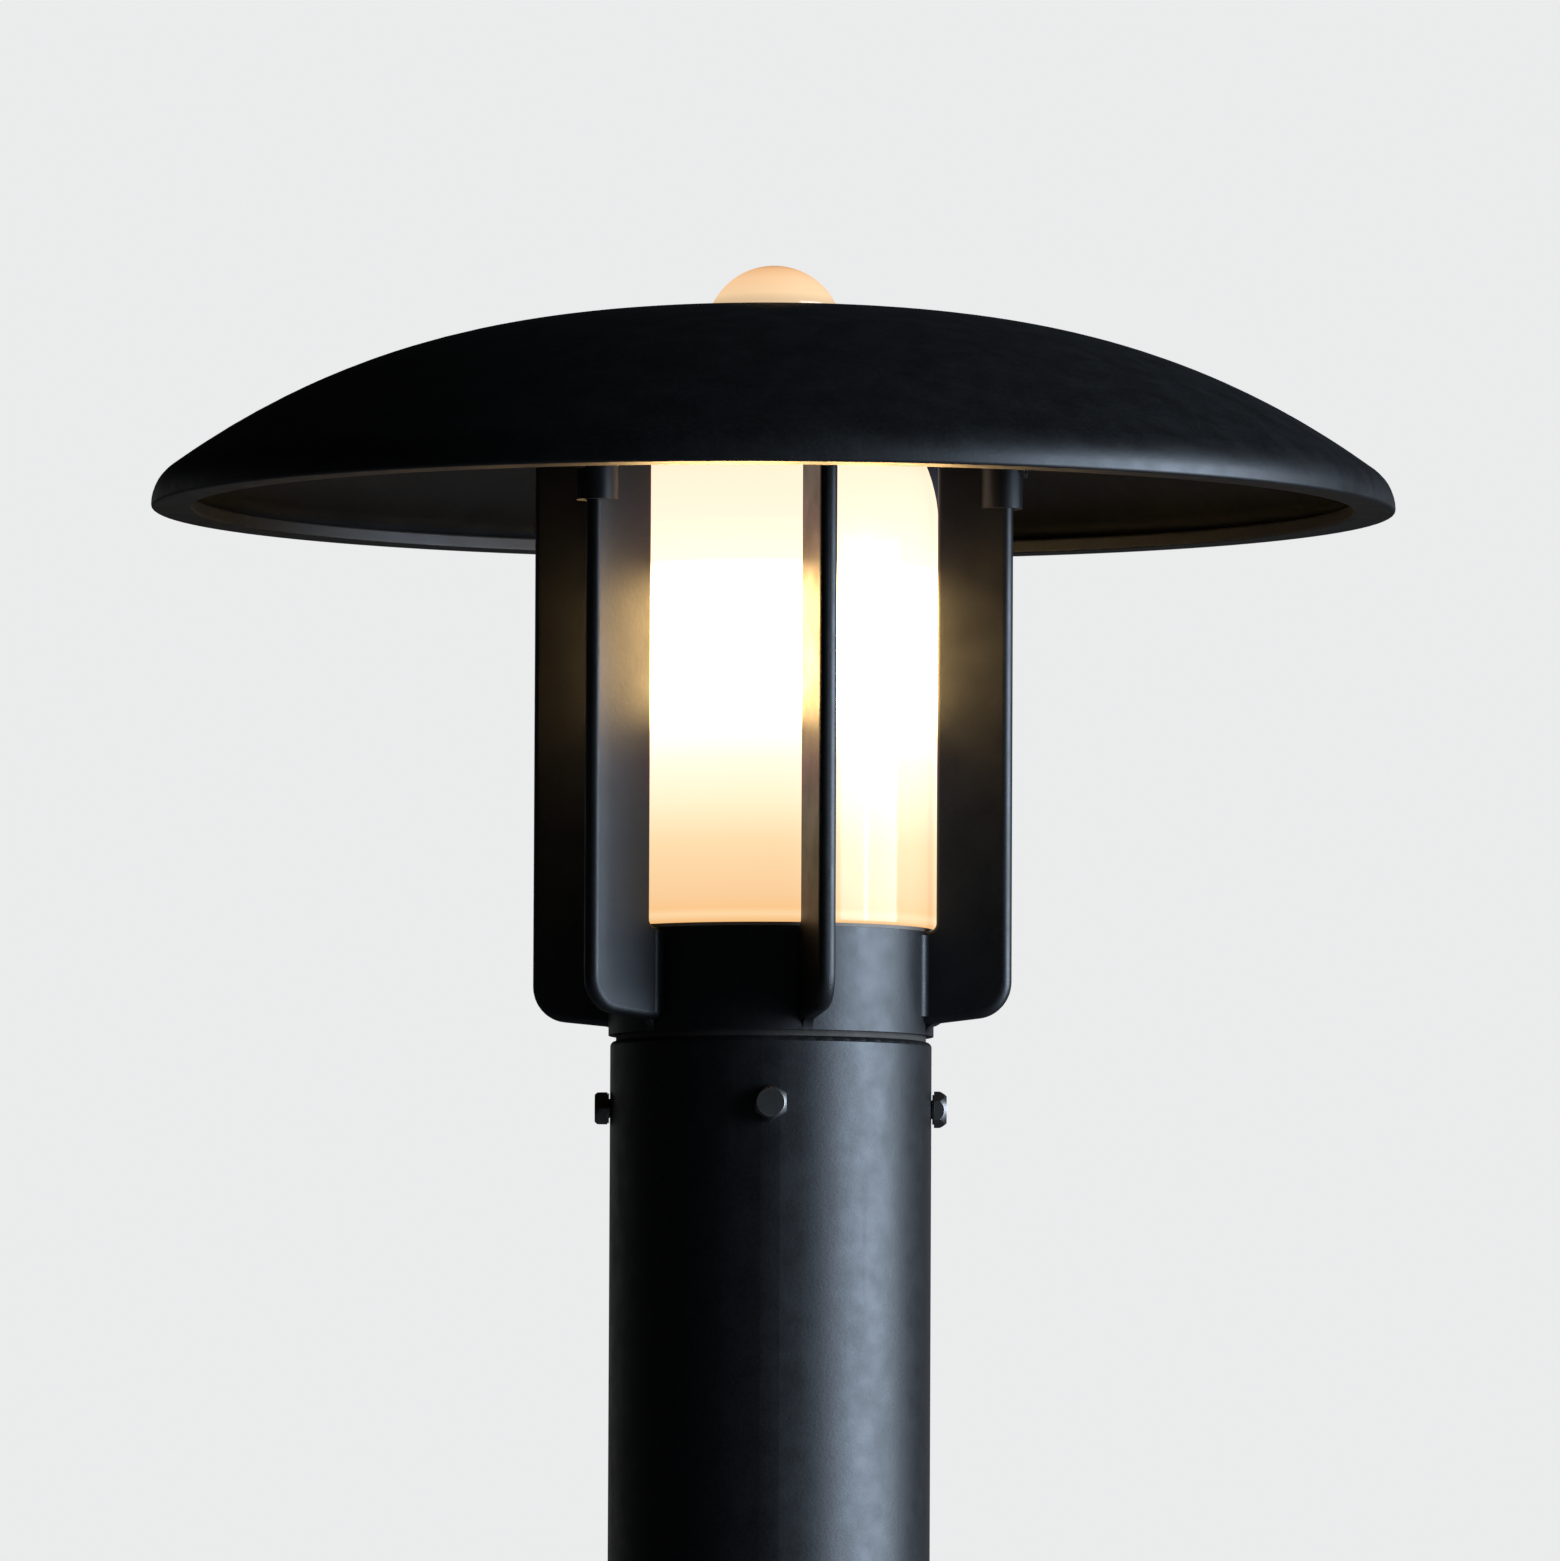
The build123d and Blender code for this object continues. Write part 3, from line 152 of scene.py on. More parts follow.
# Effects that several materials share, as node groups
def shaderGroup(name, inputs, outputs):
    tree = bpy.data.node_groups.new(name, "ShaderNodeTree")
    for label, kind, value in inputs:
        socket = tree.interface.new_socket(label, in_out="INPUT", socket_type=kind)
        if value is not None:
            socket.default_value = value
    for label, kind in outputs:
        tree.interface.new_socket(label, in_out="OUTPUT", socket_type=kind)
    return tree, tree.nodes.new("NodeGroupInput").outputs, tree.nodes.new("NodeGroupOutput").inputs


def patchInputs(sizeLabel, size):
    return [
        ("Coordinate", "NodeSocketVector", None),
        (sizeLabel, "NodeSocketFloat", size),
        ("Amount", "NodeSocketFloat", 0.5),
    ]


powderGrainShape = {
    "detail": 3.0,
    "rough": 0.6,
    "fineShare": 0.6,
    "pebbleShare": 0.4,
    "cloudSize": 7.0,  # in grains
    "speckleRange": (0.38, 0.66),
    "cloudRange": (0.3, 0.7),
}


def makePowderGrain(c):
    # The fine pebbled skin of baked powder: small grains over a soft unevenness
    tree, given, out = shaderGroup(
        "powderGrain",
        [("Coordinate", "NodeSocketVector", None), ("Grain", "NodeSocketFloat", 0.0012)],
        [("Height", "NodeSocketFloat"), ("Speckle", "NodeSocketFloat"), ("Cloud", "NodeSocketFloat")],
    )
    fine = noise(tree, given["Coordinate"], given["Grain"], c["detail"], c["rough"])
    pebble = addNode(tree, "ShaderNodeTexVoronoi", feature="SMOOTH_F1")
    plug(tree, pebble.inputs["Vector"], given["Coordinate"])
    plug(tree, pebble.inputs["Scale"], maths(tree, "DIVIDE", 1.0, given["Grain"]))
    wide = noise(tree, given["Coordinate"], maths(tree, "MULTIPLY", given["Grain"], c["cloudSize"]))
    fineHeight = maths(tree, "MULTIPLY", fine, c["fineShare"])
    lifted = maths(tree, "SUBTRACT", 1.0, pebble.outputs["Distance"])
    pebbleHeight = maths(tree, "MULTIPLY", lifted, c["pebbleShare"])
    plug(tree, out["Height"], maths(tree, "ADD", fineHeight, pebbleHeight))
    plug(tree, out["Speckle"], remap(tree, fine, *c["speckleRange"]))
    plug(tree, out["Cloud"], remap(tree, wide, *c["cloudRange"]))
    return tree


dustShape = {"detail": 5.0, "rough": 0.65, "upwardRange": (0.35, 1.0), "patchRange": (0.3, 0.75)}


def makeSettledDust(c):
    # Dust lies where a face looks up, in patches
    tree, given, out = shaderGroup(
        "settledDust",
        patchInputs("Patch", 0.03),
        [("Mask", "NodeSocketFloat")],
    )
    facing = addNode(tree, "ShaderNodeSeparateXYZ")
    plug(tree, facing.inputs[0], addNode(tree, "ShaderNodeNewGeometry").outputs["Normal"])
    upward = remap(tree, facing.outputs["Z"], *c["upwardRange"], smooth=True)
    patches = noise(tree, given["Coordinate"], given["Patch"], c["detail"], c["rough"])
    patches = remap(tree, patches, *c["patchRange"])
    plug(tree, out["Mask"], timesAll(tree, upward, patches, given["Amount"], clamp=True))
    return tree


streakShape = {
    "stretch": (1.0, 1.0, 0.04),
    "detail": 3.0,
    "breakSize": 12.0,  # in widths
    "runRange": (0.52, 0.72),
    "breakRange": (0.4, 0.65),
}


def makeRainStreaks(c):
    # Dried runs of rain, long down the post and narrow across it
    tree, given, out = shaderGroup(
        "rainStreaks",
        patchInputs("Width", 0.006),
        [("Mask", "NodeSocketFloat")],
    )
    runs = noise(tree, squeezed(tree, given["Coordinate"], c["stretch"]), given["Width"], c["detail"])
    breakSize = maths(tree, "MULTIPLY", given["Width"], c["breakSize"])
    broken = noise(tree, given["Coordinate"], breakSize, c["detail"])
    runs = remap(tree, runs, *c["runRange"])
    broken = remap(tree, broken, *c["breakRange"])
    plug(tree, out["Mask"], timesAll(tree, runs, broken, given["Amount"], clamp=True))
    return tree


rubShape = {
    "samples": 4,
    "cornerRange": (0.995, 0.86),  # how far the rounded normal leans from the face
    "patchSize": 0.004,
    "detail": 4.0,
    "rough": 0.6,
    "patchRange": (0.42, 0.62),
}


def makeRubbedEdges(c):
    # Finish rubbed thin on the corners, found by rounding them
    tree, given, out = shaderGroup(
        "rubbedEdges",
        patchInputs("Reach", 0.0012),
        [("Mask", "NodeSocketFloat")],
    )
    rounded = addNode(tree, "ShaderNodeBevel", samples=c["samples"])
    plug(tree, rounded.inputs["Radius"], given["Reach"])
    compare = addNode(tree, "ShaderNodeVectorMath", operation="DOT_PRODUCT")
    plug(tree, compare.inputs[0], rounded.outputs["Normal"])
    plug(tree, compare.inputs[1], addNode(tree, "ShaderNodeNewGeometry").outputs["Normal"])
    corner = remap(tree, compare.outputs["Value"], *c["cornerRange"])
    patchy = noise(tree, given["Coordinate"], c["patchSize"], c["detail"], c["rough"])
    patchy = remap(tree, patchy, *c["patchRange"])
    plug(tree, out["Mask"], timesAll(tree, corner, patchy, given["Amount"], clamp=True))
    return tree


toolMarkShape = {
    "stretch": (0.06, 0.06, 1.0),
    "tarnishSize": 40.0,  # in spacings
    "detail": 4.0,
    "rough": 0.6,
    "toneRange": (0.3, 0.7),
}


def makeToolMarks(c):
    # Fine rings left by turning, with patches of tarnish
    tree, given, out = shaderGroup(
        "toolMarks",
        [("Coordinate", "NodeSocketVector", None), ("Spacing", "NodeSocketFloat", 0.0002)],
        [("Height", "NodeSocketFloat"), ("Tone", "NodeSocketFloat")],
    )
    rings = noise(tree, squeezed(tree, given["Coordinate"], c["stretch"]), given["Spacing"])
    tarnishSize = maths(tree, "MULTIPLY", given["Spacing"], c["tarnishSize"])
    tarnish = noise(tree, given["Coordinate"], tarnishSize, c["detail"], c["rough"])
    plug(tree, out["Height"], rings)
    plug(tree, out["Tone"], remap(tree, tarnish, *c["toneRange"]))
    return tree


mouldShape = {"rough": 0.6, "flowSize": 30.0, "flowDetail": 3.0, "toneRange": (0.3, 0.7)}


def makeMouldTexture(c):
    # The eroded surface of a plastics mould, with faint flow marks
    tree, given, out = shaderGroup(
        "mouldTexture",
        [("Coordinate", "NodeSocketVector", None), ("Grain", "NodeSocketFloat", 0.0005)],
        [("Height", "NodeSocketFloat"), ("Tone", "NodeSocketFloat")],
    )
    plug(tree, out["Height"], noise(tree, given["Coordinate"], given["Grain"], rough=c["rough"]))
    flowSize = maths(tree, "MULTIPLY", given["Grain"], c["flowSize"])
    flow = noise(tree, given["Coordinate"], flowSize, c["flowDetail"])
    plug(tree, out["Tone"], remap(tree, flow, *c["toneRange"]))
    return tree


groups = {
    "powderGrain": makePowderGrain(powderGrainShape),
    "settledDust": makeSettledDust(dustShape),
    "rainStreaks": makeRainStreaks(streakShape),
    "rubbedEdges": makeRubbedEdges(rubShape),
    "toolMarks": makeToolMarks(toolMarkShape),
    "mouldTexture": makeMouldTexture(mouldShape),
}
print("shared effects:", ", ".join(groups))


def useGroup(tree, name, **values):
    node = addNode(tree, "ShaderNodeGroup", node_tree=groups[name])
    for label, value in values.items():
        plug(tree, node.inputs[label], value)
    return node.outputs


def mask(tree, name, coords, amount, **values):
    return useGroup(tree, name, Coordinate=coords, Amount=amount, **values)["Mask"]


def startMaterial(name, **fixed):
    # A new material with its constants on the shader's own sockets
    material = bpy.data.materials.new(name)
    material.use_nodes = True
    tree = material.node_tree
    shader = tree.nodes["Principled BSDF"]
    for label, value in fixed.items():
        shader.inputs[label.replace("_", " ")].default_value = value
    coords = addNode(tree, "ShaderNodeTexCoord").outputs["Object"]
    return material, tree, shader, coords


def mottledRoughness(tree, shader, pattern, low, high, patternRange=(0.0, 1.0)):
    plug(tree, shader.inputs["Roughness"], remap(tree, pattern, *patternRange, low, high))


def bump(tree, shader, height, depth):
    node = addNode(tree, "ShaderNodeBump")
    plug(tree, node.inputs["Height"], height)
    node.inputs["Strength"].default_value = 1.0
    node.inputs["Distance"].default_value = depth
    plug(tree, shader.inputs["Normal"], node.outputs["Normal"])


# Powder coat: near-black, on the steel post and on the cast head; its reflections carry a painted cool tint
# for the light's colour, and its colour is darkened as painted shade
postCoat = {
    # painted light: this cool tint of the reflections stands for the blue of the light
    "paintedCoolTint": (0.80, 0.88, 1.0),
    # painted shade: colour and speck are darkened well below the coat's own near-black to offset the bright
    # panel light
    "colour": (0.0018, 0.0019, 0.0022),
    "speck": (0.004, 0.0044, 0.005),
    "dust": (0.10, 0.098, 0.092),
    "bare": (0.045, 0.047, 0.05),
    "grain": 0.0011,
    "depth": 0.00004,
    "roughLow": 0.42,
    "roughHigh": 0.50,
    "streaks": 0.2,
    "streakWidth": 0.005,
    "streakTint": 0.1,
    "streakRough": 0.25,
    "dusty": 0.03,
    "dustPatch": 0.02,
    "dustRough": 0.5,
    "rubbed": 0.25,
    "rubReach": 0.0012,
}
castCoat = dict(
    postCoat,
    grain=0.0014,
    depth=0.000045,
    roughLow=0.43,
    roughHigh=0.52,
    streaks=0.1,
    dusty=0.02,
    rubbed=0.2,
)


def powderCoat(name, look):
    # The specular tint is painted light: a cool tint standing for the light's colour
    material, tree, shader, coords = startMaterial(name, Specular_Tint=rgba(look["paintedCoolTint"]))
    grain = useGroup(tree, "powderGrain", Coordinate=coords, Grain=look["grain"])
    dust = mask(tree, "settledDust", coords, look["dusty"], Patch=look["dustPatch"])
    streaks = mask(tree, "rainStreaks", coords, look["streaks"], Width=look["streakWidth"])
    rubbed = mask(tree, "rubbedEdges", coords, look["rubbed"], Reach=look["rubReach"])
    dirt = maths(tree, "MAXIMUM", dust, maths(tree, "MULTIPLY", streaks, look["streakTint"]))
    # The base colour carries painted shade: the look's colour is darker than the coat's own
    colour = blendColour(tree, grain["Speckle"], rgba(look["colour"]), rgba(look["speck"]))
    colour = blendColour(tree, rubbed, colour, rgba(look["bare"]))
    colour = blendColour(tree, dirt, colour, rgba(look["dust"]))
    plug(tree, shader.inputs["Base Color"], colour)
    rough = remap(tree, grain["Cloud"], 0.0, 1.0, look["roughLow"], look["roughHigh"])
    rough = maths(tree, "ADD", rough, maths(tree, "MULTIPLY", streaks, look["streakRough"]))
    rough = maths(tree, "ADD", rough, maths(tree, "MULTIPLY", dust, look["dustRough"]), clamp=True)
    plug(tree, shader.inputs["Roughness"], rough)
    bump(tree, shader, grain["Height"], look["depth"])
    return material


# Lit opal glass: its glow by height in millimetres above the glass's lower edge
opalGlow = {
    "body": (0.10, 0.085, 0.06),
    "strength": 24.0,
    "gloss": 0.2,
    "rough": (0.08, 0.13),
    "stops": [
        (0.0, (0.90, 0.50, 0.20)),
        (2.4, (1.0, 0.69, 0.38)),
        (4.4, (0.96, 0.58, 0.27)),
        (9.0, (0.96, 0.62, 0.33)),
        (25.0, (1.0, 0.73, 0.42)),
        (38.0, (1.25, 0.91, 0.62)),
        (51.0, (1.8, 1.02, 0.80)),
        (60.0, (3.2, 2.1, 1.05)),
        (74.0, (24.0, 14.5, 5.5)),
        (102.0, (24.0, 14.5, 5.5)),
        (114.0, (2.6, 1.5, 0.86)),
        (127.0, (1.6, 0.965, 0.75)),
        (142.0, (1.25, 0.92, 0.68)),
        (165.0, (0.85, 0.60, 0.36)),
    ],
}


def glowRamp(tree, coords, low, glow):
    # A colour ramp up the piece, from its lower edge to the height of the last stop
    height = addNode(tree, "ShaderNodeSeparateXYZ")
    plug(tree, height.inputs[0], coords)
    ramp = addNode(tree, "ShaderNodeValToRGB")
    span = glow["stops"][-1][0] * mm
    plug(tree, ramp.inputs["Fac"], remap(tree, height.outputs["Z"], low, low + span))
    elements = ramp.color_ramp.elements
    for place, (lift, colour) in enumerate(glow["stops"]):
        element = elements[place] if place < 2 else elements.new(1.0)  # a new ramp has two
        element.position = lift * mm / span
        element.color = rgba([part / glow["strength"] for part in colour])
    return ramp.outputs["Color"]


blownSurface = {"rippleSize": 0.018, "rippleDepth": 0.00008, "smearSize": 0.006, "smearDetail": 3.0}


def litGlass(name, low, glow):
    material, tree, shader, coords = startMaterial(
        name,
        Base_Color=rgba(glow["body"]),
        Emission_Strength=glow["strength"],
        Specular_IOR_Level=glow["gloss"],
    )
    ripple = noise(tree, coords, blownSurface["rippleSize"])
    smear = noise(tree, coords, blownSurface["smearSize"], blownSurface["smearDetail"])
    mottledRoughness(tree, shader, smear, *glow["rough"], noiseMiddle)
    bump(tree, shader, ripple, blownSurface["rippleDepth"])
    plug(tree, shader.inputs["Emission Color"], glowRamp(tree, coords, low, glow))
    return material


# The lens glows with the lamp; its ramp darkens towards the top, painted shade at the lens's outline
lensGlow = {
    "body": (0.12, 0.09, 0.06),
    "strength": 1.2,
    "gloss": 0.3,
    "rough": (0.096, 0.156),
    "stops": [
        (0.0, (0.66, 0.47, 0.28)),
        (12.5, (0.70, 0.50, 0.30)),
        (15.0, (0.90, 0.62, 0.36)),
        (20.0, (0.92, 0.58, 0.32)),
        # painted shade: these last stops darken the lens's top, where its outline is
        (23.0, (0.84, 0.48, 0.24)),
        (24.8, (0.62, 0.33, 0.15)),
    ],
}


# Metals left bare or plated: turning marks, tarnish and rubbed corners
metalLooks = {
    "darkScrew": {
        "colour": (0.17, 0.175, 0.18),
        "tarnish": (0.08, 0.084, 0.09),
        "worn": (0.5, 0.51, 0.53),
        "rough": (0.36, 0.52),
        "spacing": 0.00025,
        "depth": 0.00001,
        "rubbed": 0.8,
    },
    "stainless": {
        "colour": (0.56, 0.56, 0.57),
        "tarnish": (0.38, 0.38, 0.39),
        "worn": (0.7, 0.7, 0.71),
        "rough": (0.18, 0.34),
        "spacing": 0.0002,
        "depth": 0.000006,
        "rubbed": 0.5,
    },
    "zinc": {
        "colour": (0.50, 0.51, 0.52),
        "tarnish": (0.27, 0.28, 0.29),
        "worn": (0.62, 0.62, 0.62),
        "rough": (0.3, 0.5),
        "spacing": 0.0004,
        "depth": 0.000012,
        "rubbed": 0.4,
    },
    "brass": {
        "colour": (0.70, 0.50, 0.21),
        "tarnish": (0.36, 0.24, 0.10),
        "worn": (0.82, 0.64, 0.32),
        "rough": (0.2, 0.38),
        "spacing": 0.0002,
        "depth": 0.000006,
        "rubbed": 0.6,
    },
    "nickel": {
        "colour": (0.64, 0.61, 0.56),
        "tarnish": (0.42, 0.38, 0.32),
        "worn": (0.72, 0.70, 0.66),
        "rough": (0.14, 0.3),
        "spacing": 0.0003,
        "depth": 0.000005,
        "rubbed": 0.4,
    },
}
metalRubReach = 0.0005


def wornMetal(name, look):
    material, tree, shader, coords = startMaterial(name, Metallic=1.0)
    marks = useGroup(tree, "toolMarks", Coordinate=coords, Spacing=look["spacing"])
    rubbed = mask(tree, "rubbedEdges", coords, look["rubbed"], Reach=metalRubReach)
    colour = blendColour(tree, marks["Tone"], rgba(look["colour"]), rgba(look["tarnish"]))
    plug(tree, shader.inputs["Base Color"], blendColour(tree, rubbed, colour, rgba(look["worn"])))
    mottledRoughness(tree, shader, marks["Tone"], *look["rough"])
    bump(tree, shader, marks["Height"], look["depth"])
    return material


# Moulded plastics, rubber, glazed and painted parts
mouldedLooks = {
    "boxPlastic": {
        "colour": (0.155, 0.165, 0.175),
        "shade": (0.125, 0.135, 0.145),
        "rough": (0.42, 0.56),
        "grain": 0.0005,
        "depth": 0.000025,
        "dusty": 0.25,
    },
    "lidPlastic": {
        "colour": (0.30, 0.31, 0.32),
        "shade": (0.26, 0.27, 0.285),
        "rough": (0.34, 0.48),
        "grain": 0.0005,
        "depth": 0.00002,
        "dusty": 0.2,
    },
    "bakelite": {
        "colour": (0.018, 0.017, 0.016),
        "shade": (0.028, 0.023, 0.019),
        "rough": (0.14, 0.26),
        "grain": 0.0012,
        "depth": 0.000012,
        "dusty": 0.1,
    },
    "whitePlastic": {
        "colour": (0.74, 0.73, 0.69),
        "shade": (0.69, 0.67, 0.60),
        "rough": (0.36, 0.5),
        "grain": 0.0006,
        "depth": 0.000015,
        "dusty": 0.15,
    },
    "rubber": {
        "colour": (0.011, 0.011, 0.012),
        "shade": (0.02, 0.02, 0.02),
        "rough": (0.62, 0.82),
        "grain": 0.0004,
        "depth": 0.00004,
        "dusty": 0.12,
    },
    "silicone": {
        "colour": (0.075, 0.07, 0.065),
        "shade": (0.055, 0.052, 0.05),
        "rough": (0.45, 0.62),
        "grain": 0.0007,
        "depth": 0.00002,
        "dusty": 0.1,
    },
    "whitePaint": {
        "colour": (0.77, 0.77, 0.75),
        "shade": (0.72, 0.71, 0.67),
        "rough": (0.28, 0.4),
        "grain": 0.0015,
        "depth": 0.00002,
        "dusty": 0.15,
    },
    "porcelain": {
        "colour": (0.79, 0.77, 0.72),
        "shade": (0.74, 0.71, 0.64),
        "rough": (0.1, 0.18),
        "grain": 0.004,
        "depth": 0.00003,
        "dusty": 0.08,
        "glaze": 0.6,
    },
}
indoorDust = {"colour": (0.3, 0.29, 0.27), "patch": 0.012}
glazeRough = 0.06


def moulded(name, look):
    glaze = look.get("glaze", 0.0)
    material, tree, shader, coords = startMaterial(name, Coat_Weight=glaze, Coat_Roughness=glazeRough)
    skin = useGroup(tree, "mouldTexture", Coordinate=coords, Grain=look["grain"])
    dust = mask(tree, "settledDust", coords, look["dusty"], Patch=indoorDust["patch"])
    colour = blendColour(tree, skin["Tone"], rgba(look["colour"]), rgba(look["shade"]))
    plug(tree, shader.inputs["Base Color"], blendColour(tree, dust, colour, rgba(indoorDust["colour"])))
    mottledRoughness(tree, shader, skin["Tone"], *look["rough"])
    bump(tree, shader, skin["Height"], look["depth"])
    return material


# Frosted bulb, lit: the glow fades towards the neck
bulbLook = {
    "body": (0.8, 0.72, 0.6),
    "glow": (1.0, 0.72, 0.42),
    "neck": (0.45, 0.27, 0.12),
    "neckShare": 0.45,
    "strength": 3.0,
    "rough": (0.3, 0.5),
    "frost": 0.0006,
    "depth": 0.00001,
}


def litBulb(name, look):
    material, tree, shader, coords = startMaterial(
        name,
        Base_Color=rgba(look["body"]),
        Emission_Strength=look["strength"],
    )
    height = addNode(tree, "ShaderNodeSeparateXYZ")
    plug(tree, height.inputs[0], coords)
    low, high = (corner.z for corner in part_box("lamp_bulb"))
    neckEnd = low + (high - low) * look["neckShare"]
    share = remap(tree, height.outputs["Z"], low, neckEnd, smooth=True)
    glow = blendColour(tree, share, rgba(look["neck"]), rgba(look["glow"]))
    plug(tree, shader.inputs["Emission Color"], glow)
    frost = noise(tree, coords, look["frost"])
    mottledRoughness(tree, shader, frost, *look["rough"], noiseMiddle)
    bump(tree, shader, frost, look["depth"])
    material.cycles.emission_sampling = "NONE"
    return material


materials = {
    "post_steel": powderCoat("postCoat", postCoat),
    "cast_aluminium": powderCoat("castCoat", castCoat),
    "opal_glass": litGlass("opalGlass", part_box("opal_glass")[0].z, opalGlow),
    "opal_lens": litGlass("opalLens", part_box("roof_lens")[0].z, lensGlow),
    "bulb_glass": litBulb("frostedBulb", bulbLook),
}
metalSlots = {
    "dark_screw": "darkScrew",
    "bright_steel": "stainless",
    "zinc_steel": "zinc",
    "brass": "brass",
    "nickel": "nickel",
}
mouldedSlots = {
    "porcelain": "porcelain",
    "box_plastic": "boxPlastic",
    "lid_plastic": "lidPlastic",
    "black_plastic": "bakelite",
    "white_plastic": "whitePlastic",
    "seal_rubber": "rubber",
    "gasket_silicone": "silicone",
    "white_plate": "whitePaint",
}
for slotName, look in metalSlots.items():
    materials[slotName] = wornMetal(look, metalLooks[look])
for slotName, look in mouldedSlots.items():
    materials[slotName] = moulded(look, mouldedLooks[look])
for o in nodes.values():
    for place, held in enumerate(o.data.materials):
        o.data.materials[place] = materials[held.name.split(".")[0]]
print("materials set")


# Rolled threads and the weld: a tree wraps a grid round the axis, and the result is kept as a plain mesh
mergeGap = 0.000002
sharpCorner = 50  # degrees


def startSweep(name, sizes):
    tree = bpy.data.node_groups.new(name, "GeometryNodeTree")
    inputs = [(label, "NodeSocketFloat") for label in sizes]
    inputs += [("Around", "NodeSocketInt"), ("Along", "NodeSocketInt"), ("Finish", "NodeSocketMaterial")]
    for label, kind in inputs:
        tree.interface.new_socket(label, in_out="INPUT", socket_type=kind)
    tree.interface.new_socket("Mesh", in_out="OUTPUT", socket_type="NodeSocketGeometry")
    given = tree.nodes.new("NodeGroupInput").outputs
    grid = addNode(tree, "GeometryNodeMeshGrid")
    grid.inputs["Size X"].default_value = 1.0
    grid.inputs["Size Y"].default_value = 1.0
    plug(tree, grid.inputs["Vertices X"], given["Around"])
    plug(tree, grid.inputs["Vertices Y"], given["Along"])
    where = addNode(tree, "ShaderNodeSeparateXYZ")
    plug(tree, where.inputs[0], addNode(tree, "GeometryNodeInputPosition").outputs[0])
    turn = maths(tree, "MULTIPLY", maths(tree, "ADD", where.outputs["X"], 0.5), math.tau)
    along = maths(tree, "ADD", where.outputs["Y"], 0.5)
    step = maths(tree, "DIVIDE", 1.0, maths(tree, "SUBTRACT", given["Along"], 1.0))
    halfStep = maths(tree, "MULTIPLY", step, 0.5)
    lastRow = maths(tree, "SUBTRACT", 1.0, halfStep)
    along = maths(tree, "MULTIPLY", along, maths(tree, "LESS_THAN", along, lastRow))  # it closes on the first
    return tree, given, grid, turn, along, step, halfStep


def endSweep(tree, given, grid, turn, radius, height):
    place = addNode(tree, "ShaderNodeCombineXYZ")
    plug(tree, place.inputs["X"], maths(tree, "MULTIPLY", radius, maths(tree, "COSINE", turn)))
    plug(tree, place.inputs["Y"], maths(tree, "MULTIPLY", radius, maths(tree, "SINE", turn)))
    plug(tree, place.inputs["Z"], height)
    moved = addNode(tree, "GeometryNodeSetPosition")
    plug(tree, moved.inputs["Geometry"], grid.outputs["Mesh"])
    plug(tree, moved.inputs["Position"], place.outputs[0])
    merged = addNode(tree, "GeometryNodeMergeByDistance")
    plug(tree, merged.inputs["Geometry"], moved.outputs[0])
    merged.inputs["Distance"].default_value = mergeGap
    real = addNode(tree, "GeometryNodeRealizeInstances")
    plug(tree, real.inputs[0], merged.outputs[0])
    finish = addNode(tree, "GeometryNodeSetMaterial")
    plug(tree, finish.inputs["Geometry"], real.outputs[0])
    plug(tree, finish.inputs["Material"], given["Finish"])
    plug(tree, tree.nodes.new("NodeGroupOutput").inputs["Mesh"], finish.outputs[0])


def choose(tree, switch, whenOff, whenOn):
    off = maths(tree, "MULTIPLY", whenOff, maths(tree, "SUBTRACT", 1.0, switch))
    return maths(tree, "ADD", off, maths(tree, "MULTIPLY", whenOn, switch))


def makeThreadTree():
    # Up the outside in a helical wave, down the inside, and shut at both ends
    sizes = ("Core", "Depth", "Pitch", "Low", "High", "Run Out", "Bore", "Bore Wave")
    tree, given, grid, turn, along, step, halfStep = startSweep("rolledThread", sizes)
    side = maths(tree, "SUBTRACT", 0.5, step)
    inside = maths(tree, "GREATER_THAN", along, maths(tree, "SUBTRACT", 0.5, halfStep))
    up = maths(tree, "DIVIDE", along, side)
    down = maths(tree, "SUBTRACT", 1.0, maths(tree, "DIVIDE", maths(tree, "SUBTRACT", along, 0.5), side))
    length = maths(tree, "SUBTRACT", given["High"], given["Low"])
    lift = maths(tree, "MULTIPLY", choose(tree, inside, up, down), length)
    height = maths(tree, "ADD", lift, given["Low"])
    turned = maths(tree, "DIVIDE", maths(tree, "MULTIPLY", lift, math.tau), given["Pitch"])
    wave = maths(tree, "COSINE", maths(tree, "SUBTRACT", turned, turn))
    wave = maths(tree, "MULTIPLY", maths(tree, "ADD", wave, 1.0), 0.5)
    fromEnd = maths(tree, "MINIMUM", lift, maths(tree, "SUBTRACT", length, lift))
    runOut = remap(tree, fromEnd, 0.0, given["Run Out"], smooth=True)
    wave = timesAll(tree, wave, runOut, given["Depth"])
    outer = maths(tree, "ADD", given["Core"], wave)
    inner = maths(tree, "ADD", given["Bore"], maths(tree, "MULTIPLY", wave, given["Bore Wave"]))
    endSweep(tree, given, grid, turn, choose(tree, inside, outer, inner), height)
    return tree


weldForm = {"crown": 1.5, "lag": 1.8}  # a crown of 2 is a flat fillet, 1 is a round one


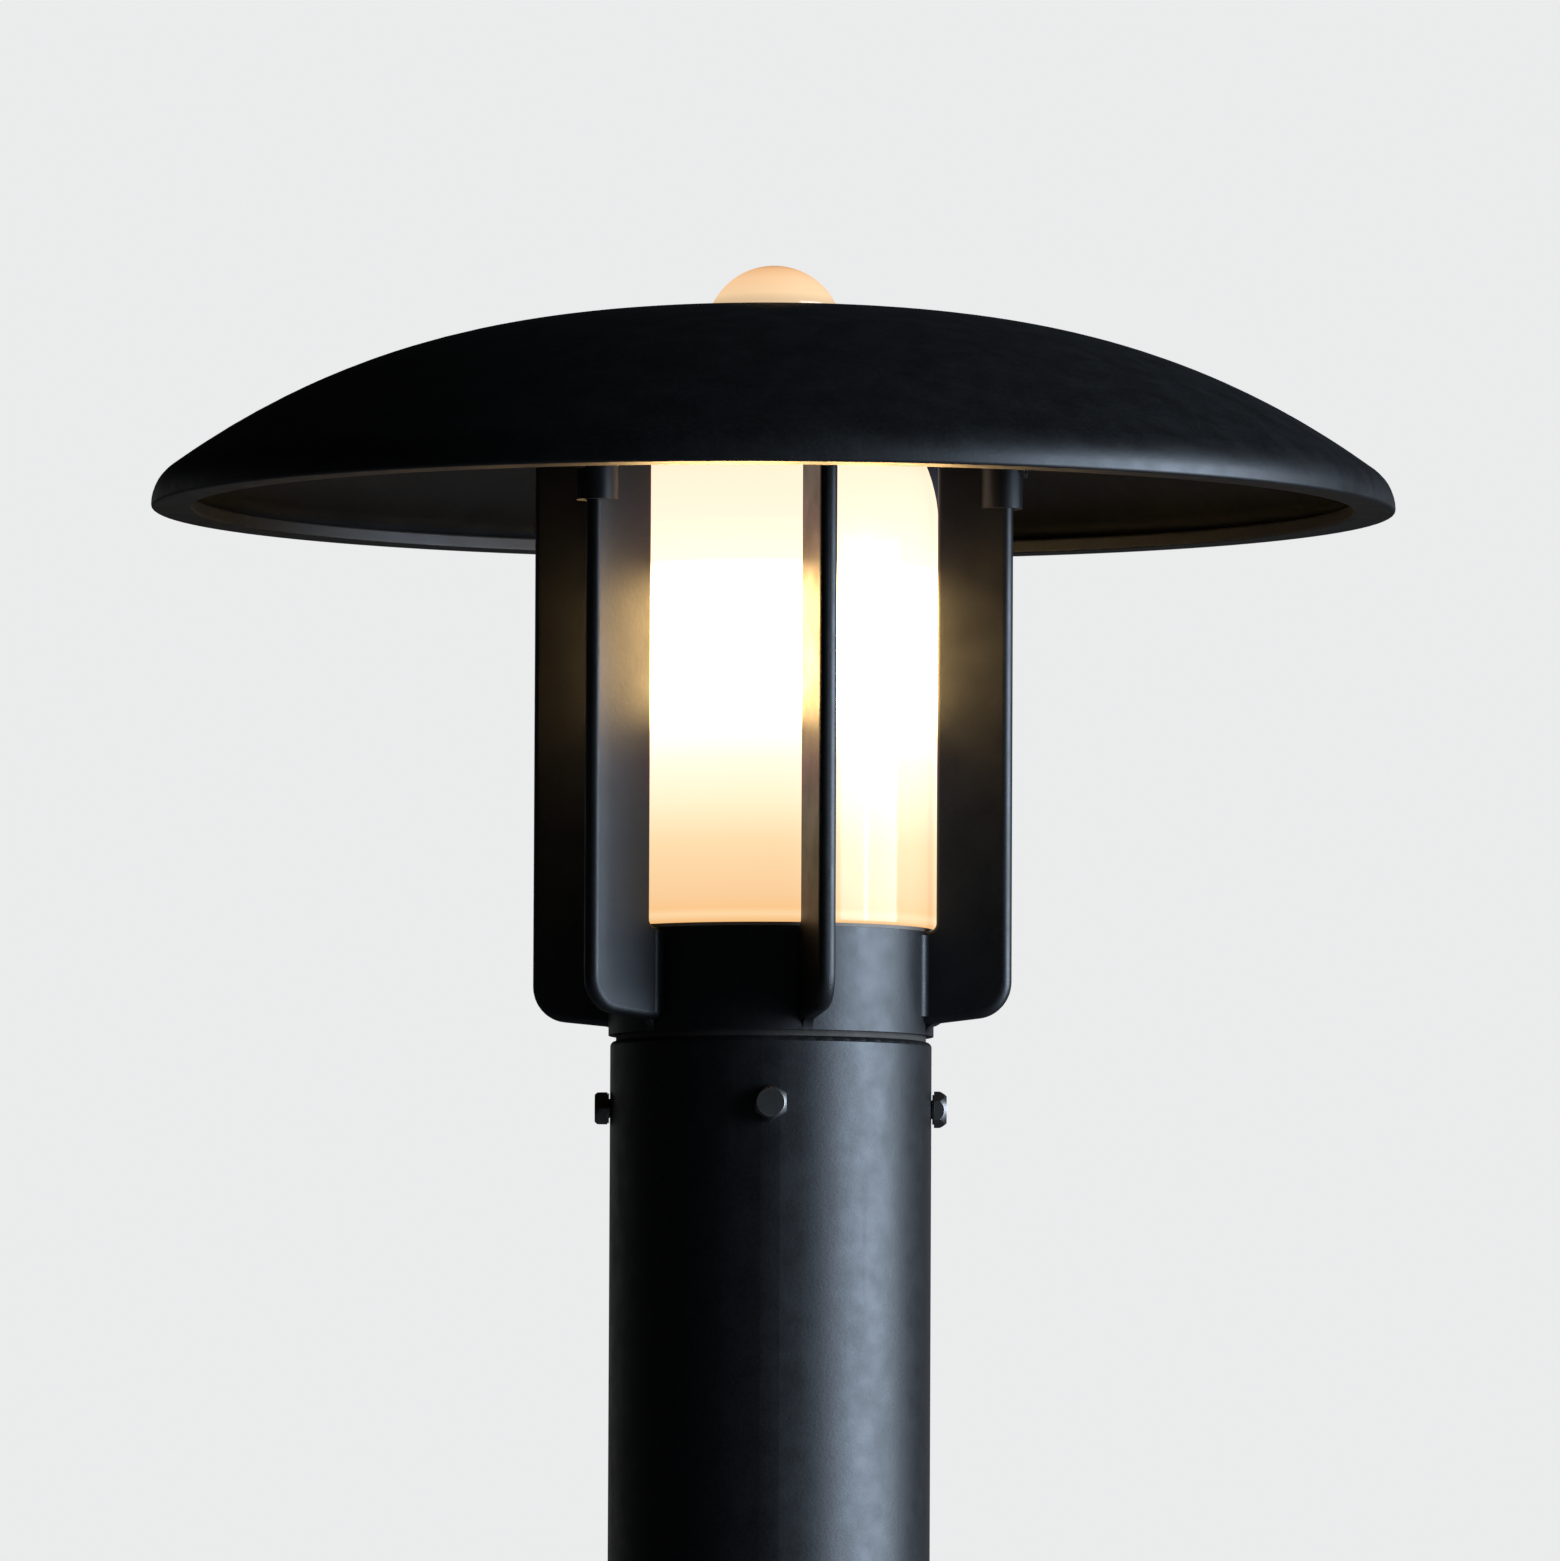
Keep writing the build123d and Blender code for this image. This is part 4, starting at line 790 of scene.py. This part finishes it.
def makeWeldTree(c):
    # A fillet weld in overlapping ripples, closed along the tube and the flange
    sizes = ("Root", "Low", "Leg", "Ripples", "Relief")
    tree, given, grid, turn, along, step, halfStep = startSweep("filletWeld", sizes)
    faceEnd = maths(tree, "SUBTRACT", 1.0, maths(tree, "MULTIPLY", step, 2.0))
    onFace = maths(tree, "LESS_THAN", along, maths(tree, "ADD", faceEnd, halfStep))
    swing = maths(tree, "MULTIPLY", maths(tree, "DIVIDE", along, faceEnd), math.pi / 2)
    lag = maths(tree, "MULTIPLY", maths(tree, "SINE", maths(tree, "MULTIPLY", swing, 2.0)), c["lag"])
    ripple = maths(tree, "COSINE", maths(tree, "ADD", maths(tree, "MULTIPLY", turn, given["Ripples"]), lag))
    ripple = maths(tree, "MULTIPLY", maths(tree, "ADD", ripple, 1.0), 0.5)
    size = maths(tree, "SUBTRACT", 1.0, maths(tree, "MULTIPLY", ripple, given["Relief"]))
    reach = timesAll(tree, size, given["Leg"], onFace)

    def fillet(operation, start):
        share = maths(tree, "MAXIMUM", maths(tree, operation, swing), 0.0)
        share = maths(tree, "POWER", share, c["crown"])
        return maths(tree, "ADD", start, maths(tree, "MULTIPLY", reach, share))

    endSweep(tree, given, grid, turn, fillet("COSINE", given["Root"]), fillet("SINE", given["Low"]))
    return tree


def runTree(tree, name, body, slotName, replaced, values, place=None):
    base = bpy.data.objects.new(name, bpy.data.meshes.new(name + "Base"))
    scene.collection.objects.link(base)
    modifier = base.modifiers.new("sweep", "NODES")
    modifier.node_group = tree
    values = dict(values, Finish=materials[slotName])
    for item in tree.interface.items_tree:
        if item.item_type == "SOCKET" and item.in_out == "INPUT":
            modifier[item.identifier] = values[item.name]
    evaluated = base.evaluated_get(bpy.context.evaluated_depsgraph_get())
    mesh = bpy.data.meshes.new_from_object(evaluated)
    mesh.name = name
    base.modifiers.clear()
    tidy = bmesh.new()
    tidy.from_mesh(mesh)
    bmesh.ops.dissolve_degenerate(tidy, dist=mergeGap, edges=tidy.edges[:])
    bmesh.ops.delete(tidy, geom=[edge for edge in tidy.edges if not edge.link_faces], context="EDGES")
    bmesh.ops.recalc_face_normals(tidy, faces=tidy.faces[:])
    for face in tidy.faces:
        face.smooth = True
    for edge in tidy.edges:
        edge.smooth = len(edge.link_faces) == 2 and edge.calc_face_angle(0.0) < math.radians(sharpCorner)
    tidy.to_mesh(mesh)
    tidy.free()
    if place is not None:
        mesh.transform(place)
    base.data = mesh
    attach(base, body)
    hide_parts(replaced)
    print(name, "has", len(mesh.polygons), "faces")


threadTree = makeThreadTree()

# All lengths in metres; Low and High come from the node that each piece stands for
# Around and Along are the numbers of points round the axis and along the outline
lampCapLook = {
    "Core": 0.0122,
    "Depth": 0.0009,
    "Pitch": 0.0036,
    "Run Out": 0.003,
    "Bore": 0.0,
    "Bore Wave": 0.0,
    "Around": 97,
    "Along": 163,
}
shellLook = {
    "Core": 0.01405,
    "Depth": 0.00035,
    "Pitch": 0.0036,
    "Run Out": 0.002,
    "Bore": 0.0136,
    "Bore Wave": 1.0,  # the inner side follows the wave, as rolled sheet does
    "Around": 97,
    "Along": 163,
}
stemLook = {
    "Core": 0.0044,
    "Depth": 0.0006,
    "Pitch": 0.001,
    "Run Out": 0.0012,
    "Bore": 0.0034,
    "Bore Wave": 0.0,
    "Around": 49,
    "Along": 521,
}
studLook = {
    "Core": 0.0034,
    "Depth": 0.0006,
    "Pitch": 0.00125,
    "Run Out": 0.0012,
    "Bore": 0.0,
    "Bore Wave": 0.0,
    "Around": 49,
    "Along": 305,
}


def standingThread(name, body, slotName, replaced, look):
    low, high = (corner.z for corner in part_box(replaced))
    runTree(threadTree, name, body, slotName, replaced, dict(look, Low=low, High=high))


standingThread("lampCap", "lamp", "nickel", "lamp_cap", lampCapLook)
standingThread("lampholderThread", "head", "brass", "lampholder_shell", shellLook)
standingThread("hollowStem", "head", "zinc_steel", "lampholder_stem", stemLook)

# The stud lies along X, so it is made standing and then laid down
studLow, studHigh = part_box("earth_stud")
studPlace = Matrix.Translation((studLow.x, 0.0, (studLow.z + studHigh.z) / 2))
studPlace = studPlace @ Matrix.Rotation(math.radians(90), 4, "Y")
studValues = dict(studLook, Low=0.0, High=studHigh.x - studLow.x)
runTree(threadTree, "threadedStud", "post", "bright_steel", "earth_stud", studValues, studPlace)

weldLook = {"Root": 0.05085, "Leg": 0.006, "Ripples": 112.0, "Relief": 0.16, "Around": 1345, "Along": 13}
weldValues = dict(weldLook, Low=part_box("base_weld")[0].z)
runTree(makeWeldTree(weldForm), "weldBead", "post", "post_steel", "base_weld", weldValues)
print("threads and weld made")


# Studio: a pale room, a large cool panel at the right, a low one beside the post, and a narrow strip
room = {
    "pale": (0.83, 0.835, 0.84),
    "fill": 0.30,
    "mirrored": 0.30,  # how bright the pale wall behind is in reflections
    "mirroredSide": (0.1, 1.0),  # from the side to straight behind
    "mirroredTop": 0.22,
    "mirroredRest": 0.002,
    "mirroredAbove": 0.02,
    "floor": (0.10, 0.10, 0.102),
    "floorRough": 0.85,
    "floorLift": 0.74,
    "floorSize": 120.0,
}
lamps = {
    "key": {"azimuth": 73.0, "distance": 6.0, "height": 2.5, "size": (5.4, 3.4), "radiance": 14.0},
    "lowKey": {"azimuth": 72.0, "distance": 1.4, "height": 1.1, "size": (0.6, 0.6), "radiance": 6.0},
    "strip": {"azimuth": 68.5, "distance": 3.0, "height": 2.0, "size": (0.12, 1.6), "radiance": 24.0},
}
lampColour = (0.80, 0.90, 1.0)


def softbox(name, c):
    light = bpy.data.lights.new(name, "AREA")
    light.shape = "RECTANGLE"
    light.size, light.size_y = c["size"]
    light.color = lampColour
    light.energy = c["radiance"] * math.pi * c["size"][0] * c["size"][1]
    o = bpy.data.objects.new(name, light)
    scene.collection.objects.link(o)
    turn = math.radians(c["azimuth"])
    o.location = (c["distance"] * math.sin(turn), -c["distance"] * math.cos(turn), c["height"])
    o.rotation_euler = Vector((-o.location.x, -o.location.y, 0)).to_track_quat("-Z", "Y").to_euler()
    o.visible_camera = False


for name, values in lamps.items():
    softbox(name, values)


def makeRoom(c):
    world = bpy.data.worlds.new("room")
    scene.world = world
    world.use_nodes = True
    world.cycles.sampling_method = "NONE"
    tree = world.node_tree
    path = addNode(tree, "ShaderNodeLightPath").outputs
    direction = addNode(tree, "ShaderNodeSeparateXYZ")
    plug(tree, direction.inputs[0], addNode(tree, "ShaderNodeTexCoord").outputs["Generated"])
    side = c["mirroredSide"]
    behind = remap(tree, direction.outputs["Y"], *side, c["mirroredRest"], c["mirrored"], smooth=True)
    lowDown = remap(tree, direction.outputs["Z"], 0.0, c["mirroredTop"], 1.0, c["mirroredAbove"], smooth=True)
    mirrored = maths(tree, "MAXIMUM", path["Is Glossy Ray"], path["Is Transmission Ray"])
    level = maths(tree, "MULTIPLY", mirrored, maths(tree, "MULTIPLY", behind, lowDown))
    fillShare = maths(tree, "SUBTRACT", 1.0, maths(tree, "MAXIMUM", mirrored, path["Is Camera Ray"]))
    level = maths(tree, "ADD", level, maths(tree, "MULTIPLY", fillShare, c["fill"]))
    level = maths(tree, "ADD", level, path["Is Camera Ray"])
    background = tree.nodes["Background"]
    background.inputs["Color"].default_value = rgba(c["pale"])
    plug(tree, background.inputs["Strength"], level)


def makeFloor(c):
    half = c["floorSize"] / 2
    mesh = bpy.data.meshes.new("floor")
    corners = [(-half, -half, 0), (half, -half, 0), (half, half, 0), (-half, half, 0)]
    mesh.from_pydata(corners, [], [(0, 1, 2, 3)])
    material, tree, shader, _ = startMaterial(
        "floorPaint",
        Base_Color=rgba(c["floor"]),
        Roughness=c["floorRough"],
        Emission_Color=rgba(c["pale"]),
    )
    seen = addNode(tree, "ShaderNodeLightPath").outputs["Is Camera Ray"]
    plug(tree, shader.inputs["Emission Strength"], maths(tree, "MULTIPLY", seen, c["floorLift"]))
    mesh.materials.append(material)
    floor = bpy.data.objects.new("floor", mesh)
    scene.collection.objects.link(floor)


makeRoom(room)
makeFloor(room)
print("room, floor and", len(lamps), "soft lights")
